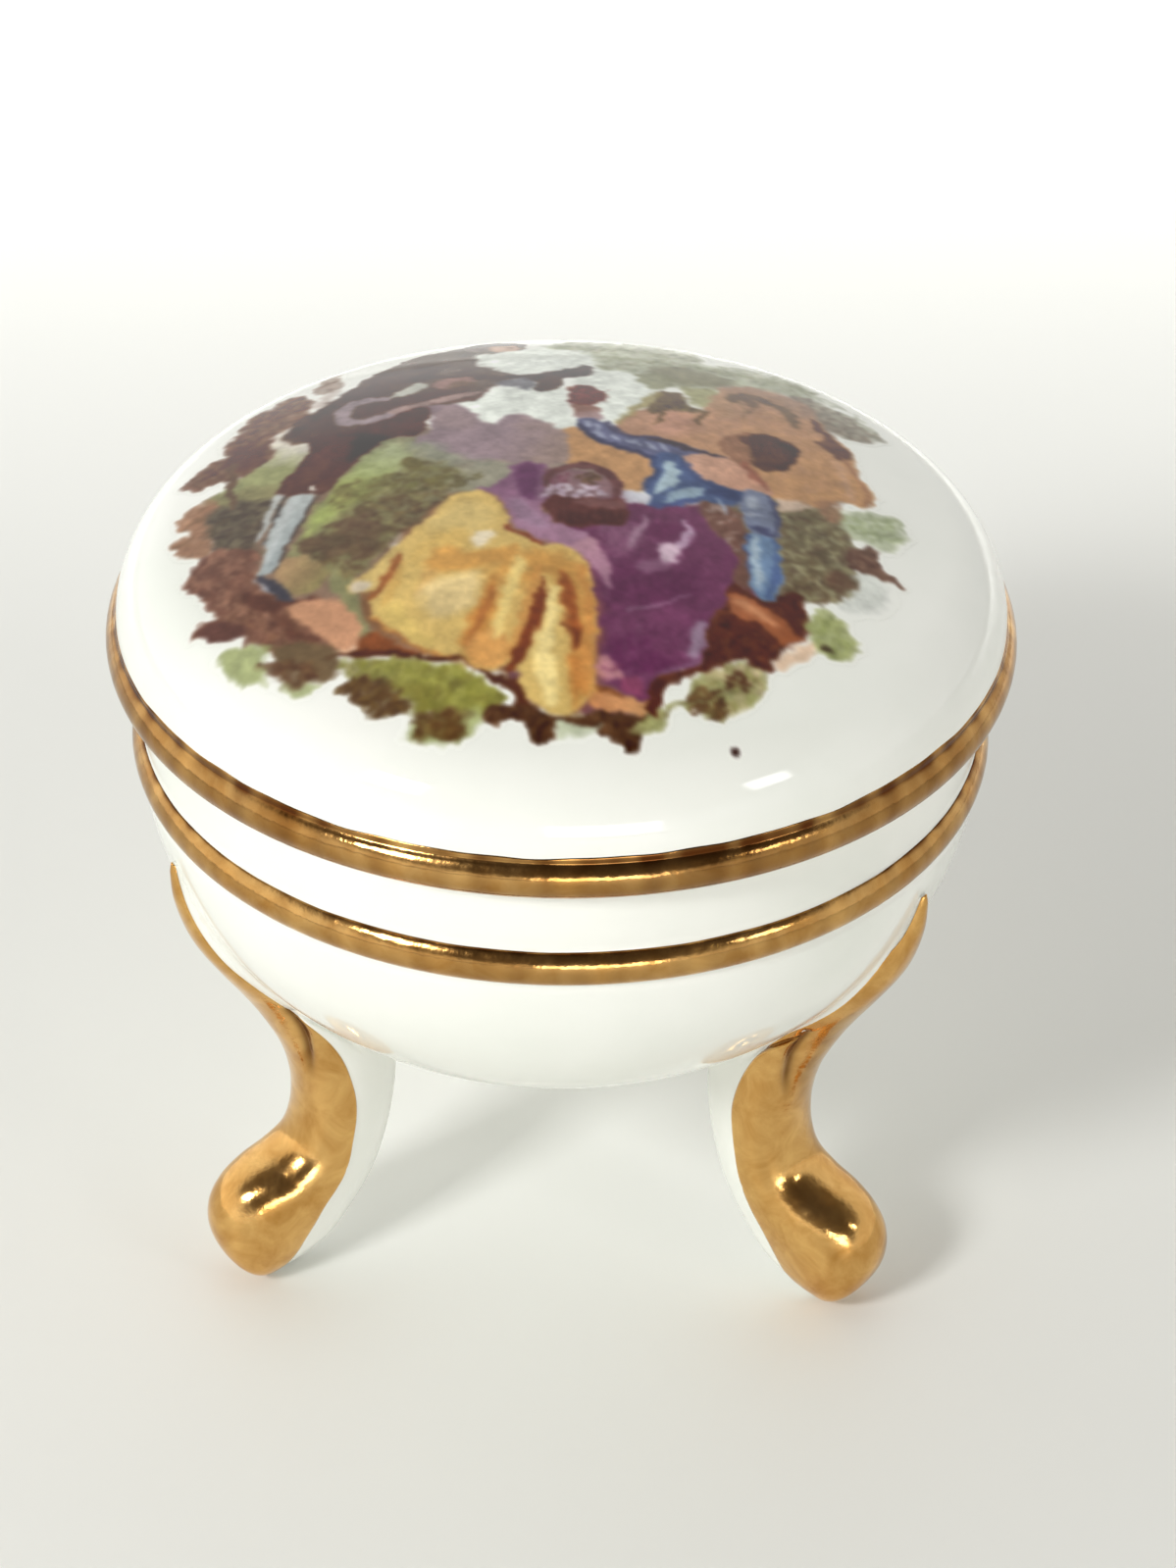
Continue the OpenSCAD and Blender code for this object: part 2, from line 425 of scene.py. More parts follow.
def surface_normals(grid):
    """Normals of a grid of points, from its neighbours."""
    down = np.gradient(grid, axis=0)
    across = np.gradient(grid, axis=1)
    normal = np.cross(down, across)
    return normal / np.maximum(np.linalg.norm(normal, axis=-1, keepdims=True), 1e-9)


SOFTEN_ROUNDS = 5


def soften(points, normals, other, reach):
    """How far to move a skin outwards, so that it meets another one in a smooth fillet. other gives the
    distance of points from that one, and a few rounds settle the height."""
    height = np.zeros(points.shape[:-1])
    for _ in range(SOFTEN_ROUNDS):
        distance = other(points + normals * height[..., None])
        nearer = np.minimum(height, distance)
        pulled = np.maximum(reach - np.abs(height - distance), 0) ** 2 / (4 * reach)
        height = np.maximum(height - (nearer - pulled) * (distance > -reach), 0)
        height = np.minimum(height, reach / 3)
    return height


def turn(points, degrees):
    """Points turned about the box's axis."""
    cos, sin = math.cos(math.radians(degrees)), math.sin(math.radians(degrees))
    matrix = np.array([[cos, -sin, 0], [sin, cos, 0], [0, 0, 1]])
    return points @ matrix.T


LEG_ROWS = smooth_rows(LEG, LEG_STEPS)


def fillet_reach(height):
    """The fillet between leg and bowl narrows to nothing towards the leg's point."""
    return LEG_FILLET * (0.1 + 0.9 * step((30.5 - height) / 7))


def knee_creases(grid, angles):
    """Where the knee is creased, from 0 to 1: between the ridge in front and each side face, and from
    the same point between the side face and the bowl above. Also how fully a point is on a side face."""
    off_crest = np.abs(np.degrees(np.arctan2(np.sin(angles), np.cos(angles))))
    height = grid[..., 2]
    crease = CREASE_ANGLE - (KNEE_TOP - height) * CREASE_TURN
    lip = KNEE_TOP - LIP_FALL * np.maximum(off_crest - LIP_ANGLE, 0)
    under_lip = step((lip - height) / 0.7)
    to_back = step((105 - off_crest) / 30)
    face = under_lip * step((off_crest - crease) / 8) * step((height - 15.5) / 4) * to_back
    down = np.exp(-(((off_crest - crease) / 5.5) ** 2)) * step((KNEE_TOP + 0.3 - height) / 0.6)
    down *= step((height - 14) / 3)
    out = np.exp(-(((height - lip) / 0.28) ** 2)) * step((off_crest - 60) / 8) * to_back
    return np.maximum(down, out), face


def knee(grid, angles):
    """How far the knee stands out."""
    crease, face = knee_creases(grid, angles)
    return KNEE_LIP * face - KNEE_GROOVE * crease


def round_sole(points):
    """Draw the leg's surface in towards its middle near the ground, so the toe ends like a ball."""
    low = np.clip((SOLE_ROUND - points[..., 2]) / SOLE_ROUND, 0, 1)
    away = points[..., :2] - np.array(SOLE_MIDDLE)
    far = np.maximum(np.linalg.norm(away, axis=-1, keepdims=True), 1e-6)
    drawn = SOLE_DRAW * (1 - np.sqrt(1 - low**2))[..., None] * np.clip(far / 1.5, 0, 1)
    return np.concatenate([points[..., :2] - away / far * drawn, points[..., 2:]], -1)


def leg_core():
    """A point in the middle of each of the leg's sections."""
    middle = (LEG_ROWS[:, 0:2] + LEG_ROWS[:, 2:4]) / 2
    return np.stack([middle[:, 0], 0 * middle[:, 0], middle[:, 1]], -1)[:, None, :]


def leg_skin(angles):
    """The leg's outer skin, with its knee, its fillet to the bowl and its round toe, and the normals."""
    angles = np.broadcast_to(angles, (len(LEG_ROWS), np.shape(angles)[-1]))
    grid = leg_sections(LEG_ROWS, angles)
    normals = surface_normals(grid)
    normals *= np.sign((normals * (grid - leg_core())).sum(-1).mean())
    height = soften(grid, normals, bowl_distance, fillet_reach(grid[..., 2]))
    return round_sole(grid + normals * (height + knee(grid, angles))[..., None]), normals


def make_leg(name, angle):
    """A porcelain leg, turned to its place and cut flat at the ground."""
    closed = np.append(around(LEG_SIDES), 2 * math.pi)
    grid = leg_skin(closed)[0][:, :-1]
    points = turn(grid.reshape(-1, 3), angle)
    faces = grid_faces(len(LEG_ROWS), LEG_SIDES, False, True).tolist()
    last = (len(LEG_ROWS) - 1) * LEG_SIDES
    faces.append(list(range(LEG_SIDES))[::-1])
    faces.append([last + k for k in range(LEG_SIDES)])
    mesh = bpy.data.meshes.new(name)
    mesh.from_pydata((points * MM).tolist(), [], faces)
    bm = bmesh.new()
    bm.from_mesh(mesh)
    bmesh.ops.recalc_face_normals(bm, faces=bm.faces)
    everything = bm.verts[:] + bm.edges[:] + bm.faces[:]
    cut = bmesh.ops.bisect_plane(
        bm, geom=everything, plane_co=(0, 0, 0), plane_no=(0, 0, -1), clear_outer=True
    )
    edges = [e for e in cut["geom_cut"] if isinstance(e, bmesh.types.BMEdge)]
    bmesh.ops.edgeloop_fill(bm, edges=edges)
    for face in bm.faces:
        face.smooth = abs(face.normal.z) < 0.999 or face.calc_center_median().z > 1e-6
    bm.to_mesh(mesh)
    bm.free()
    place_piece(name + "_porcelain", mesh, WHITE_GLAZE, "box", name)


# The gold was laid by hand: how much farther it reaches on one side of a leg's crest than on the
# other. The sign says which side, then come (height of the crest, share) pairs.
GOLD_REACH = {
    "leg_left": (1, [(2, 1.3), (6, 1.15), (9, 0.9), (17, 0.92), (21, 0.95), (24, 0.95), (27, 0.9)]),
    "leg_right": (-1, [(2, 1.4), (6, 1.3), (9, 1), (14, 1.06), (21, 1.12), (25, 1.38), (29, 1.2), (31, 1)]),
    "leg_back": (1, [(2, 1), (31, 1)]),
}
GILDING_COLUMNS = 101
GILDING_WANDER = 0.012
# The share of the way to the border, and the rows at the top and at the toe, where the gold thins out
BORDER_SHARE = 0.06
TOP_ROWS = 6
TOE_ROWS = 4
# How much painted shade darkens the gold in the knee's creases
KNEE_PAINTED_SHADE = 0.8


def gilding_angles(name, seed):
    """The angle from the crest to each point of a leg's gold, and how thick the gold is there."""
    rows = np.arange(len(LEG_ROWS))
    share = np.linspace(-1, 1, GILDING_COLUMNS)
    wander = 1 + GILDING_WANDER * noise_1d(len(rows), (2, 3, 5, 8), seed)
    reach = np.radians(LEG_ROWS[:, 5]) * wander
    side, shares = GOLD_REACH[name]
    heights, factors = np.array(shares).T
    uneven = np.interp(LEG_ROWS[:, 1], heights, factors)[:, None]
    angles = reach[:, None] * share[None, :] * np.where(side * share > 0, uneven, 1)
    taper = np.clip((1 - np.abs(share)) / BORDER_SHARE, 0, 1)
    thickness = GOLD_T * np.sqrt(taper * (2 - taper))
    ends = np.clip(rows / TOP_ROWS, 0, 1) * np.clip((len(rows) - 1 - rows) / TOE_ROWS, 0, 1)
    return angles, thickness[None, :] * ends[:, None]


def make_leg_gilding(name, angle, seed):
    """Gold over the front of a leg. Its border wanders a little, as a brush does, and thins to nothing."""
    angles, thickness = gilding_angles(name, seed)
    skin, normals = leg_skin(angles)
    outer = skin + normals * thickness[..., None]
    inner = skin - GOLD_SUNK * normals
    loop = np.concatenate([outer, inner[:, ::-1]], axis=1)
    loop[..., 2] = np.maximum(loop[..., 2], 0)
    rows, columns = loop.shape[:2]
    faces = grid_faces(rows, columns, False, True).tolist()
    last = (rows - 1) * columns
    top = [[k, k + 1, columns - 2 - k, columns - 1 - k] for k in range(columns // 2 - 1)]
    faces += [face[::-1] for face in top]
    faces += [[last + k for k in face] for face in top]
    faces = [face[::-1] for face in faces]
    points = turn(loop.reshape(-1, 3), angle)
    piece = make_piece(
        name + "_gilding_gold", points, faces, GOLD, "box", name + "_gilding", weld=False
    )
    # Painted shade in the knee's creases
    crease = KNEE_PAINTED_SHADE * knee_creases(leg_sections(LEG_ROWS, angles), angles)[0]
    store_painted_shade(piece, np.concatenate([crease, crease[:, ::-1]], axis=1).ravel())


# ---------------------------------------------------------------- bowl


def bowl_section():
    """The bowl's closed outline from the middle of its base out, up, over its rim and down inside."""
    inner_curve_r = BOWL_CURVE_R - COLLAR_WALL
    inner_r = COLLAR_R - COLLAR_WALL
    turn_end = math.degrees(math.acos((inner_r - BOWL_CURVE_X) / inner_curve_r))
    bead_low = math.degrees(math.asin((BAND_LOW[2] - BOWL_BEAD_Z) / CLAY_R))
    bead_high = math.degrees(math.acos((COLLAR_R - BOWL_BEAD_X) / CLAY_R))
    rim_round = BOWL_RIM_ROUND
    return np.vstack(
        [
            [(0, BOWL_BASE_Z)],
            line((0, BOWL_BASE_Z), (BOWL_CURVE_X, BOWL_BASE_Z), 14),
            arc(BOWL_CURVE_X, BOWL_TURN_Z, BOWL_CURVE_R, -90, -4, 70),
            arc(BOWL_BEAD_X, BOWL_BEAD_Z, CLAY_R, bead_low, bead_high, 14),
            line((COLLAR_R, BAND_HIGH[2]), (COLLAR_R, BOWL_RIM_Z - rim_round), 6),
            arc(COLLAR_R - rim_round, BOWL_RIM_Z - rim_round, rim_round, 0, 90, 6),
            arc(inner_r + rim_round, BOWL_RIM_Z - rim_round, rim_round, 90, 180, 6),
            line((inner_r, BOWL_RIM_Z - rim_round), (inner_r, BOWL_TURN_Z), 6),
            arc(BOWL_CURVE_X, BOWL_TURN_Z, inner_curve_r, -turn_end, -90, 40),
            line((BOWL_CURVE_X, BOWL_BASE_Z + COLLAR_WALL), (0, BOWL_BASE_Z + COLLAR_WALL), 6),
            [(0, BOWL_BASE_Z + COLLAR_WALL)],
        ]
    )


# The farthest from a leg that its fillet is looked for, and the distance given to points beyond that
FIELD_REACH = 6.0
FAR_AWAY = 99.0


def leg_distance_field():
    """A function that gives how far points of the leg's own axes are outside the bare leg."""
    grid = leg_sections(LEG_ROWS, np.broadcast_to(around(LEG_SIDES), (len(LEG_ROWS), LEG_SIDES)))
    faces = grid_faces(len(LEG_ROWS), LEG_SIDES, False, True)
    tree = BVHTree.FromPolygons(grid.reshape(-1, 3).tolist(), faces.tolist())
    middle = grid.mean(axis=1)

    def distance(points):
        """The distance of each point, below zero inside the leg."""
        result = np.full(len(points), FAR_AWAY)
        for i, p in enumerate(points):
            place, _, _, far = tree.find_nearest(Vector(p), FIELD_REACH)
            if place is None:
                continue
            core = middle[np.argmin(((middle - p) ** 2).sum(-1))]
            inside = np.linalg.norm(p - core) < np.linalg.norm(np.array(place) - core)
            result[i] = -far if inside else far
        return result

    return distance


# The part of the bowl where a leg's fillet is looked for, on the leg's own axes
FILLET_OUT = 8
FILLET_ACROSS = 7


def bowl_normals(points):
    """Normals of the round side of the bowl."""
    radius = np.hypot(points[:, 0], points[:, 1])
    outward = (radius - BOWL_CURVE_X) / BOWL_CURVE_R
    up = (points[:, 2] - BOWL_TURN_Z) / BOWL_CURVE_R
    return np.stack([points[:, 0] / radius * outward, points[:, 1] / radius * outward, up], -1)


def make_bowl():
    """The bowl, with fillets around the tops of its legs."""
    section = bowl_section()
    points, faces = revolve(np.broadcast_to(section, (BOWL_SIDES, *section.shape)))
    distance = leg_distance_field()
    side = points[:, 2] < BOWL_TURN_Z - 1
    side &= bowl_distance(points) > -0.01
    side &= np.hypot(points[:, 0], points[:, 1]) > BOWL_CURVE_X + 0.01
    for angle in LEG_ANGLES.values():
        local = turn(points, -angle)
        near = side & (local[:, 0] > FILLET_OUT) & (np.abs(local[:, 1]) < FILLET_ACROSS)
        chosen = local[near]
        height = soften(chosen, bowl_normals(chosen), distance, fillet_reach(chosen[:, 2]))
        points[near] = turn(chosen + bowl_normals(chosen) * height[:, None], angle)
    make_piece("bowl_porcelain", points, faces, WHITE_GLAZE, "box", "bowl")


def bead_gold(count, x, z, start, end, lip, seed):
    """The closed section, at each angle, of a gold skin over a bead. start and end are angles on the bead
    in degrees, and the skin's ends wander by lip degrees."""
    wander = lip * noise_1d(count, (2, 3, 5, 9, 14, 23, 37, 61), seed)
    share = np.linspace(0, 1, 26)
    edge = np.clip(np.minimum(share, 1 - share) / 0.08, 0, 1)
    radius = CLAY_R + GOLD_T * np.sqrt(edge * (2 - edge))
    inner_radius = CLAY_R - GOLD_SUNK
    sections = []
    for k in range(count):
        angle = np.radians(start + wander[k] + (end - start - 0.5 * wander[k]) * share)
        outer = np.stack([x + radius * np.cos(angle), z + radius * np.sin(angle)], -1)
        inner = np.stack([x + inner_radius * np.cos(angle), z + inner_radius * np.sin(angle)], -1)
        sections.append(np.vstack([outer, inner[::-1]]))
    return np.array(sections)


def store_painted_shade(piece, dark):
    """Store how much painted shade darkens the gold at each point, for the gold material."""
    values = np.repeat(dark[:, None], 4, axis=1).astype(np.float32)
    attribute = piece.data.color_attributes.new("crease", "FLOAT_COLOR", "POINT")
    attribute.data.foreach_set("color", values.ravel())


def paint_crease_shade(piece, x, z, angle, width, seed, base):
    """Paint shade on the gold that lies in the crease behind a bead, at that angle on the bead in degrees.
    base is how much painted shade darkens the rest of the gold."""
    points = np.empty(len(piece.data.vertices) * 3)
    piece.data.vertices.foreach_get("co", points)
    points = points.reshape(-1, 3) / MM
    around = np.degrees(np.arctan2(points[:, 1], points[:, 0])) % 360
    out = np.hypot(points[:, 0], points[:, 1]) - x
    place = np.degrees(np.arctan2(points[:, 2] - z, out))
    rough = np.interp(around, np.arange(720) / 2, noise_1d(720, (3, 5, 8, 13, 21, 34, 55, 89), seed))
    dark = np.exp(-(((place - angle) / (width * (1 + 0.35 * rough))) ** 2))
    dark *= (0.8 + 0.2 * rough).clip(0, 1)
    store_painted_shade(piece, np.maximum(dark, base + 0.1 * rough))


def make_bowl_band():
    """Gold over the bowl's bead."""
    low = math.degrees(math.asin((BAND_LOW[2] - BOWL_BEAD_Z) / BEAD_R))
    high = math.degrees(math.acos((COLLAR_R - BOWL_BEAD_X) / BEAD_R))
    sections = bead_gold(BAND_SIDES, BOWL_BEAD_X, BOWL_BEAD_Z, high + 2, low - 4, 1.5, 11)
    points, faces = revolve(sections)
    piece = make_piece("bowl_gold_band", points, faces, GOLD, "box", "bowl_gilt_band")
    # Painted shade in the crease above the bead, and a lighter painted shade over the rest of the band
    paint_crease_shade(piece, BOWL_BEAD_X, BOWL_BEAD_Z, high, 11, 21, 0.34)


# ---------------------------------------------------------------- lid


def dome_height(radius):
    """Height of the outside of the lid at a distance from its axis, on the dome and on its shoulder."""
    dome = DOME_Z + np.sqrt(DOME_R**2 - radius**2)
    shoulder = FOOT_Z + np.sqrt(np.maximum(SHOULDER_R**2 - (radius - SHOULDER_X) ** 2, 0))
    return np.where(radius > DOME_R * math.sin(DOME_EDGE), shoulder, dome)


LID_BEAD_TOP = math.degrees(math.acos((DOME_FOOT_R - LID_BEAD_X) / BEAD_R))


def lid_section():
    """The lid's closed outline from the top of its dome out and down, over the bead, and back under it."""
    edge = math.degrees(DOME_EDGE)
    inner_dome_r = DOME_R - LID_WALL
    corner_x = HOLLOW_R - CORNER_R
    corner_z = DOME_Z + math.sqrt((inner_dome_r - CORNER_R) ** 2 - corner_x**2)
    inner_edge = math.degrees(math.asin(corner_x / (inner_dome_r - CORNER_R)))
    r = FLANGE_ROUND
    return np.vstack(
        [
            arc(0, DOME_Z, DOME_R, 90, 90 - edge, 60),
            arc(SHOULDER_X, FOOT_Z, SHOULDER_R, 90 - edge, 0, 30)[1:],
            arc(LID_BEAD_X, LID_BEAD_Z, CLAY_R, LID_BEAD_TOP - 4, -88, 24),
            line((LID_BEAD_X, LID_UNDER_Z), (FLANGE_OUT_R + r, LID_UNDER_Z), 4),
            arc(FLANGE_OUT_R + r, LID_UNDER_Z - r, r, 90, 180, 5),
            arc(FLANGE_OUT_R - r, FLANGE_LOW_Z + r, r, 0, -90, 5),
            arc(HOLLOW_R + r, FLANGE_LOW_Z + r, r, -90, -180, 5),
            line((HOLLOW_R, FLANGE_LOW_Z + r), (HOLLOW_R, corner_z), 8),
            arc(corner_x, corner_z, CORNER_R, 0, 90 - inner_edge, 10),
            arc(0, DOME_Z, inner_dome_r, 90 - inner_edge, 90, 30)[1:],
        ]
    )


def make_lid():
    """The lid: its dome, its bead and the flange underneath."""
    section = lid_section()
    points, faces = revolve(np.broadcast_to(section, (LID_SIDES, *section.shape)))
    make_piece("lid_porcelain", points, faces, WHITE_GLAZE, "lid", "lid")


def lid_rim_lips():
    """The gold's upper edge at each angle: it runs up the foot of the dome and thins out there."""
    heights = 0.34 + 0.07 * noise_1d(LID_RIM_SIDES, (2, 3, 4, 7, 11, 17, 29, 47), 8)
    share = np.linspace(1, 0, 7)
    skin = 0.05 * np.sqrt(np.clip((1 - share) / 0.4, 0, 1))
    lips = []
    for top in heights:
        height = np.maximum(top, 0.1) * share
        radius = SHOULDER_X + np.sqrt(SHOULDER_R**2 - height**2)
        lips.append(np.stack([radius + skin, FOOT_Z + height], -1))
    return np.array(lips)


def make_lid_rim():
    """Gold over the lid's bead, run a little past the crease onto the foot of the dome."""
    sections = bead_gold(LID_RIM_SIDES, LID_BEAD_X, LID_BEAD_Z, LID_BEAD_TOP + 1, -86, 0.8, 5)
    lips = lid_rim_lips()
    under = lips[:, :1] + np.array([-0.15, -0.05])
    inner = lips[:, -1:] + np.array([-0.25, -0.1])
    points, faces = revolve(np.concatenate([under, lips, sections[:, 1:-1], inner], axis=1))
    piece = make_piece("lid_gold_rim", points, faces, GOLD, "lid", "lid_gilt_rim")
    # Painted shade in the crease at the foot of the dome, and painted shade over the rest of the rim
    paint_crease_shade(piece, LID_BEAD_X, LID_BEAD_Z, LID_BEAD_TOP, 13, 22, 0.5)


# ---------------------------------------------------------------- picture

# The corners of the painted grid, its pitch, and the thickness of the enamel
PICTURE_LOW = (-21.8, -21.8)
PICTURE_HIGH = (19.2, 21.0)
PICTURE_PITCH = 0.12
ENAMEL_T = 0.008

# The gloss adds this much light to every colour, and this much more towards the far side, from
# GLARE_START over GLARE_RUN millimetres. It is taken off the colours, down to a share of each.
GLARE = 0.01
FAR_GLARE = 0.075
GLARE_START = -4
GLARE_RUN = 22
DARKEST_SHARE = 0.3


def cloud(x, y, size, seed):
    """Smooth noise from -1 to 1, in blotches of about that size."""
    lattice = np.random.default_rng(seed).uniform(-1, 1, (257, 257))
    u, v = x / size + 128, y / size + 128
    i, j = np.floor(u).astype(int), np.floor(v).astype(int)
    u, v = u - i, v - j
    u, v = step(u), step(v)
    i, j = i % 256, j % 256
    near = lattice[i, j] * (1 - v) + lattice[i, j + 1] * v
    far = lattice[i + 1, j] * (1 - v) + lattice[i + 1, j + 1] * v
    return near * (1 - u) + far * u


CURVE_STEPS = 4


def curve_through(points, closed):
    """A smooth curve through given points."""
    p = np.array(points, float)
    if closed:
        before, after, last = np.roll(p, 1, 0), np.roll(p, -1, 0), np.roll(p, -2, 0)
        start = p
    else:
        start, after = p[:-1], p[1:]
        before = np.vstack([p[:1], p[:-2]])
        last = np.vstack([p[2:], p[-1:]])
    t = (np.arange(CURVE_STEPS) / CURVE_STEPS)[None, :, None]
    a, b, c, d = before[:, None], start[:, None], after[:, None], last[:, None]
    curve = spline(a, b, c, d, t).reshape(-1, p.shape[1])
    return curve if closed else np.vstack([curve, p[-1:]])


def nearest_share(x, y, start, run):
    """How far along a straight run from a start each point's nearest place is, from 0 to 1."""
    (x0, y0), (dx, dy) = start, run
    return np.clip(((x - x0) * dx + (y - y0) * dy) / (dx * dx + dy * dy + 1e-12), 0, 1)


class Canvas:
    """A picture painted on a grid of points seen from above, in millimetres, x to the right and y away."""

    def __init__(self, low, high, pitch):
        x = np.arange(low[0], high[0], pitch)
        y = np.arange(low[1], high[1], pitch)
        self.x, self.y = np.meshgrid(x, y, indexing="ij")
        self.low, self.pitch = low, pitch
        self.colour = np.ones((*self.x.shape, 3)) * np.array(GLAZE) / 255
        self.cover = np.zeros(self.x.shape)
        self.edge = 0.65 * cloud(self.x, self.y, 0.75, 1) + 0.35 * cloud(self.x, self.y, 0.3, 2)
        self.blotch = 0.5 * cloud(self.x, self.y, 1.3, 3) + 0.5 * cloud(self.x, self.y, 0.45, 4)

    def window(self, low, high):
        """The part of the grid between two corners."""
        spans = []
        for axis in range(2):
            first = int(math.floor((low[axis] - self.low[axis]) / self.pitch))
            last = int(math.ceil((high[axis] - self.low[axis]) / self.pitch)) + 1
            size = self.x.shape[axis]
            spans.append(slice(min(max(first, 0), size), min(max(last, 0), size)))
        return tuple(spans)

    def lay(self, part, distance, colour, soft, alpha):
        """Blend a colour in where distance is below zero, over an edge of that softness."""
        share = step(0.5 - distance / (2 * soft)) * alpha
        self.colour[part] += (np.asarray(colour) - self.colour[part]) * share[..., None]
        self.cover[part] = np.maximum(self.cover[part], share)

    def tint(self, part, colour, fade, mottle):
        """A flat colour, one that fades to a second colour between two points, or a blotchy one."""
        x, y = self.x[part], self.y[part]
        result = np.ones((*x.shape, 3)) * np.array(colour) / 255
        if fade:
            (x0, y0), (x1, y1), second = fade
            t = ((x - x0) * (x1 - x0) + (y - y0) * (y1 - y0)) / ((x1 - x0) ** 2 + (y1 - y0) ** 2)
            t = np.clip(t + 0.25 * self.blotch[part], 0, 1)[..., None]
            result += (np.array(second) / 255 - result) * t
        return result * (1 + mottle * self.blotch[part])[..., None]

    def area(self, colour, outline, soft=0.17, wobble=0.2, alpha=1.0, fade=None, mottle=0.1):
        """A patch with a smooth, slightly ragged outline."""
        curve = curve_through(outline, True)
        reach = soft + wobble
        part = self.window(curve.min(0) - reach, curve.max(0) + reach)
        x, y = self.x[part], self.y[part]
        if not x.size:
            return
        nearest = np.full(x.shape, 1e9)
        inside = np.zeros(x.shape, bool)
        for (x0, y0), (x1, y1) in zip(curve, np.roll(curve, -1, 0)):
            dx, dy = x1 - x0, y1 - y0
            t = nearest_share(x, y, (x0, y0), (dx, dy))
            nearest = np.minimum(nearest, (x - x0 - t * dx) ** 2 + (y - y0 - t * dy) ** 2)
            if y0 != y1:
                crosses = ((y0 > y) != (y1 > y)) & (x < (x1 - x0) * (y - y0) / (y1 - y0) + x0)
                inside ^= crosses
        distance = np.where(inside, -1, 1) * np.sqrt(nearest) + wobble * self.edge[part]
        self.lay(part, distance, self.tint(part, colour, fade, mottle), soft, alpha)

    def stroke(self, colour, points, soft=0.13, wobble=0.08, alpha=1.0, mottle=0.1):
        """A brush stroke through (x, y, half width) points."""
        curve = curve_through(points, False)
        reach = soft + wobble + curve[:, 2].max()
        part = self.window(curve[:, :2].min(0) - reach, curve[:, :2].max(0) + reach)
        x, y = self.x[part], self.y[part]
        if not x.size:
            return
        distance = np.full(x.shape, 1e9)
        for (x0, y0, w0), (x1, y1, w1) in zip(curve[:-1], curve[1:]):
            dx, dy = x1 - x0, y1 - y0
            t = nearest_share(x, y, (x0, y0), (dx, dy))
            far = np.hypot(x - x0 - t * dx, y - y0 - t * dy) - w0 - t * (w1 - w0)
            distance = np.minimum(distance, far)
        distance += wobble * self.edge[part]
        self.lay(part, distance, self.tint(part, colour, None, mottle), soft, alpha)

    def dabs(self, colours, outline, count, size, seed, lean=0.0, spread=1.6, alpha=0.8, slim=0.5):
        """Leaf-like dabs of a fine brush, scattered inside an outline."""
        rng = np.random.default_rng(seed)
        curve = curve_through(outline, True)
        low, high = curve.min(0), curve.max(0)
        begin, end = curve, np.roll(curve, -1, 0)
        placed = 0
        while placed < count:
            px, py = rng.uniform(low, high)
            over = (begin[:, 1] > py) != (end[:, 1] > py)
            rise = np.where(over, end[:, 1] - begin[:, 1], 1)
            crossing = (end[:, 0] - begin[:, 0]) * (py - begin[:, 1]) / rise + begin[:, 0]
            if np.count_nonzero(over & (px < crossing)) % 2 == 0:
                continue
            placed += 1
            length = size * rng.uniform(0.6, 1.4)
            angle = lean + spread * rng.uniform(-1, 1)
            colour = np.array(colours[rng.integers(len(colours))]) * rng.uniform(0.9, 1.1) / 255
            reach = length * 1.5
            part = self.window((px - reach, py - reach), (px + reach, py + reach))
            dx, dy = self.x[part] - px, self.y[part] - py
            if not dx.size:
                continue
            u = dx * math.cos(angle) + dy * math.sin(angle)
            v = (dy * math.cos(angle) - dx * math.sin(angle)) / slim
            self.lay(part, np.hypot(u, v) - length + 0.08 * self.edge[part], colour, 0.09, alpha)


def paint_undertone(c):
    """A thin wash under everything, so no bare glaze shows between the patches."""
    c.area((120, 92, 72), [
        (-18.5, 6), (-14.5, 8.6), (-12.8, 11.6), (-10.4, 8), (-7, 5), (-8, -1), (-9, -9), (-9.5, -14.4),
        (-13.5, -13.6), (-17.6, -10.6), (-19, -6), (-18.4, -2), (-19.6, 1), (-17.5, 3),
    ], 0.4, 0.3, 0.9)
    c.area((150, 132, 118), [
        (-10.6, 8.4), (-8, 5.4), (-2, 6.4), (0.4, 4.2), (5, 4), (9, 8), (13.4, 11), (15.4, 7), (16, 0.6),
        (10, -1), (4, -1), (-4, -1), (-9, -1),
    ], 0.4, 0.2, 0.9)
    c.area((124, 84, 52), [
        (-9.6, 2), (-4, 0), (-2, -2), (1.5, -4), (1.6, -8), (1.4, -18.4), (-1.4, -18.6), (-3.4, -16.2),
        (-6.2, -15.2), (-9.4, -13.4), (-10.6, -9.6), (-8.6, -6),
    ], 0.3, 0.1, 0.9)
    c.area((96, 50, 66), [
        (-3, -0.4), (-0.6, 0.2), (3, -1.4), (4.6, -3), (9.8, -2.6), (10.6, -9), (12.2, -10), (12.2, -12.8),
        (8.4, -14.4), (5.6, -16.2), (4.2, -18.6), (0.8, -18.9), (0.6, -6),
    ], 0.3, 0.1, 0.9)
    c.area((112, 96, 70), [
        (9.4, -0.6), (14.6, -0.6), (15, -7.6), (13.6, -9.4), (11, -9.6), (9, -6),
    ], 0.3, 0.2, 0.9)


def paint_sky(c):
    """The pale sky in the gaps between the trees."""
    sky = (230, 235, 226)
    c.area(sky, [
        (-5.4, 17.4), (-2.4, 18.4), (0, 20), (2, 18.4), (1.9, 14.4), (0, 13.2), (-2.7, 12.8), (-4.2, 13.6),
    ], 0.6, 0.3)
    c.area(sky, [
        (-5.8, 8.4), (-4.4, 10.6), (-2.6, 10.8), (0, 10.6), (0.4, 7), (0.8, 5.2), (-0.2, 4.6), (-3.9, 5.4),
    ], 0.4, 0.2)
    c.area(sky, [
        (1.2, 14.8), (0.4, 12), (1.8, 9.6), (2, 6.4), (3, 5.6), (4.4, 7.6), (5, 10), (4.6, 14),
    ], 0.5, 0.3)


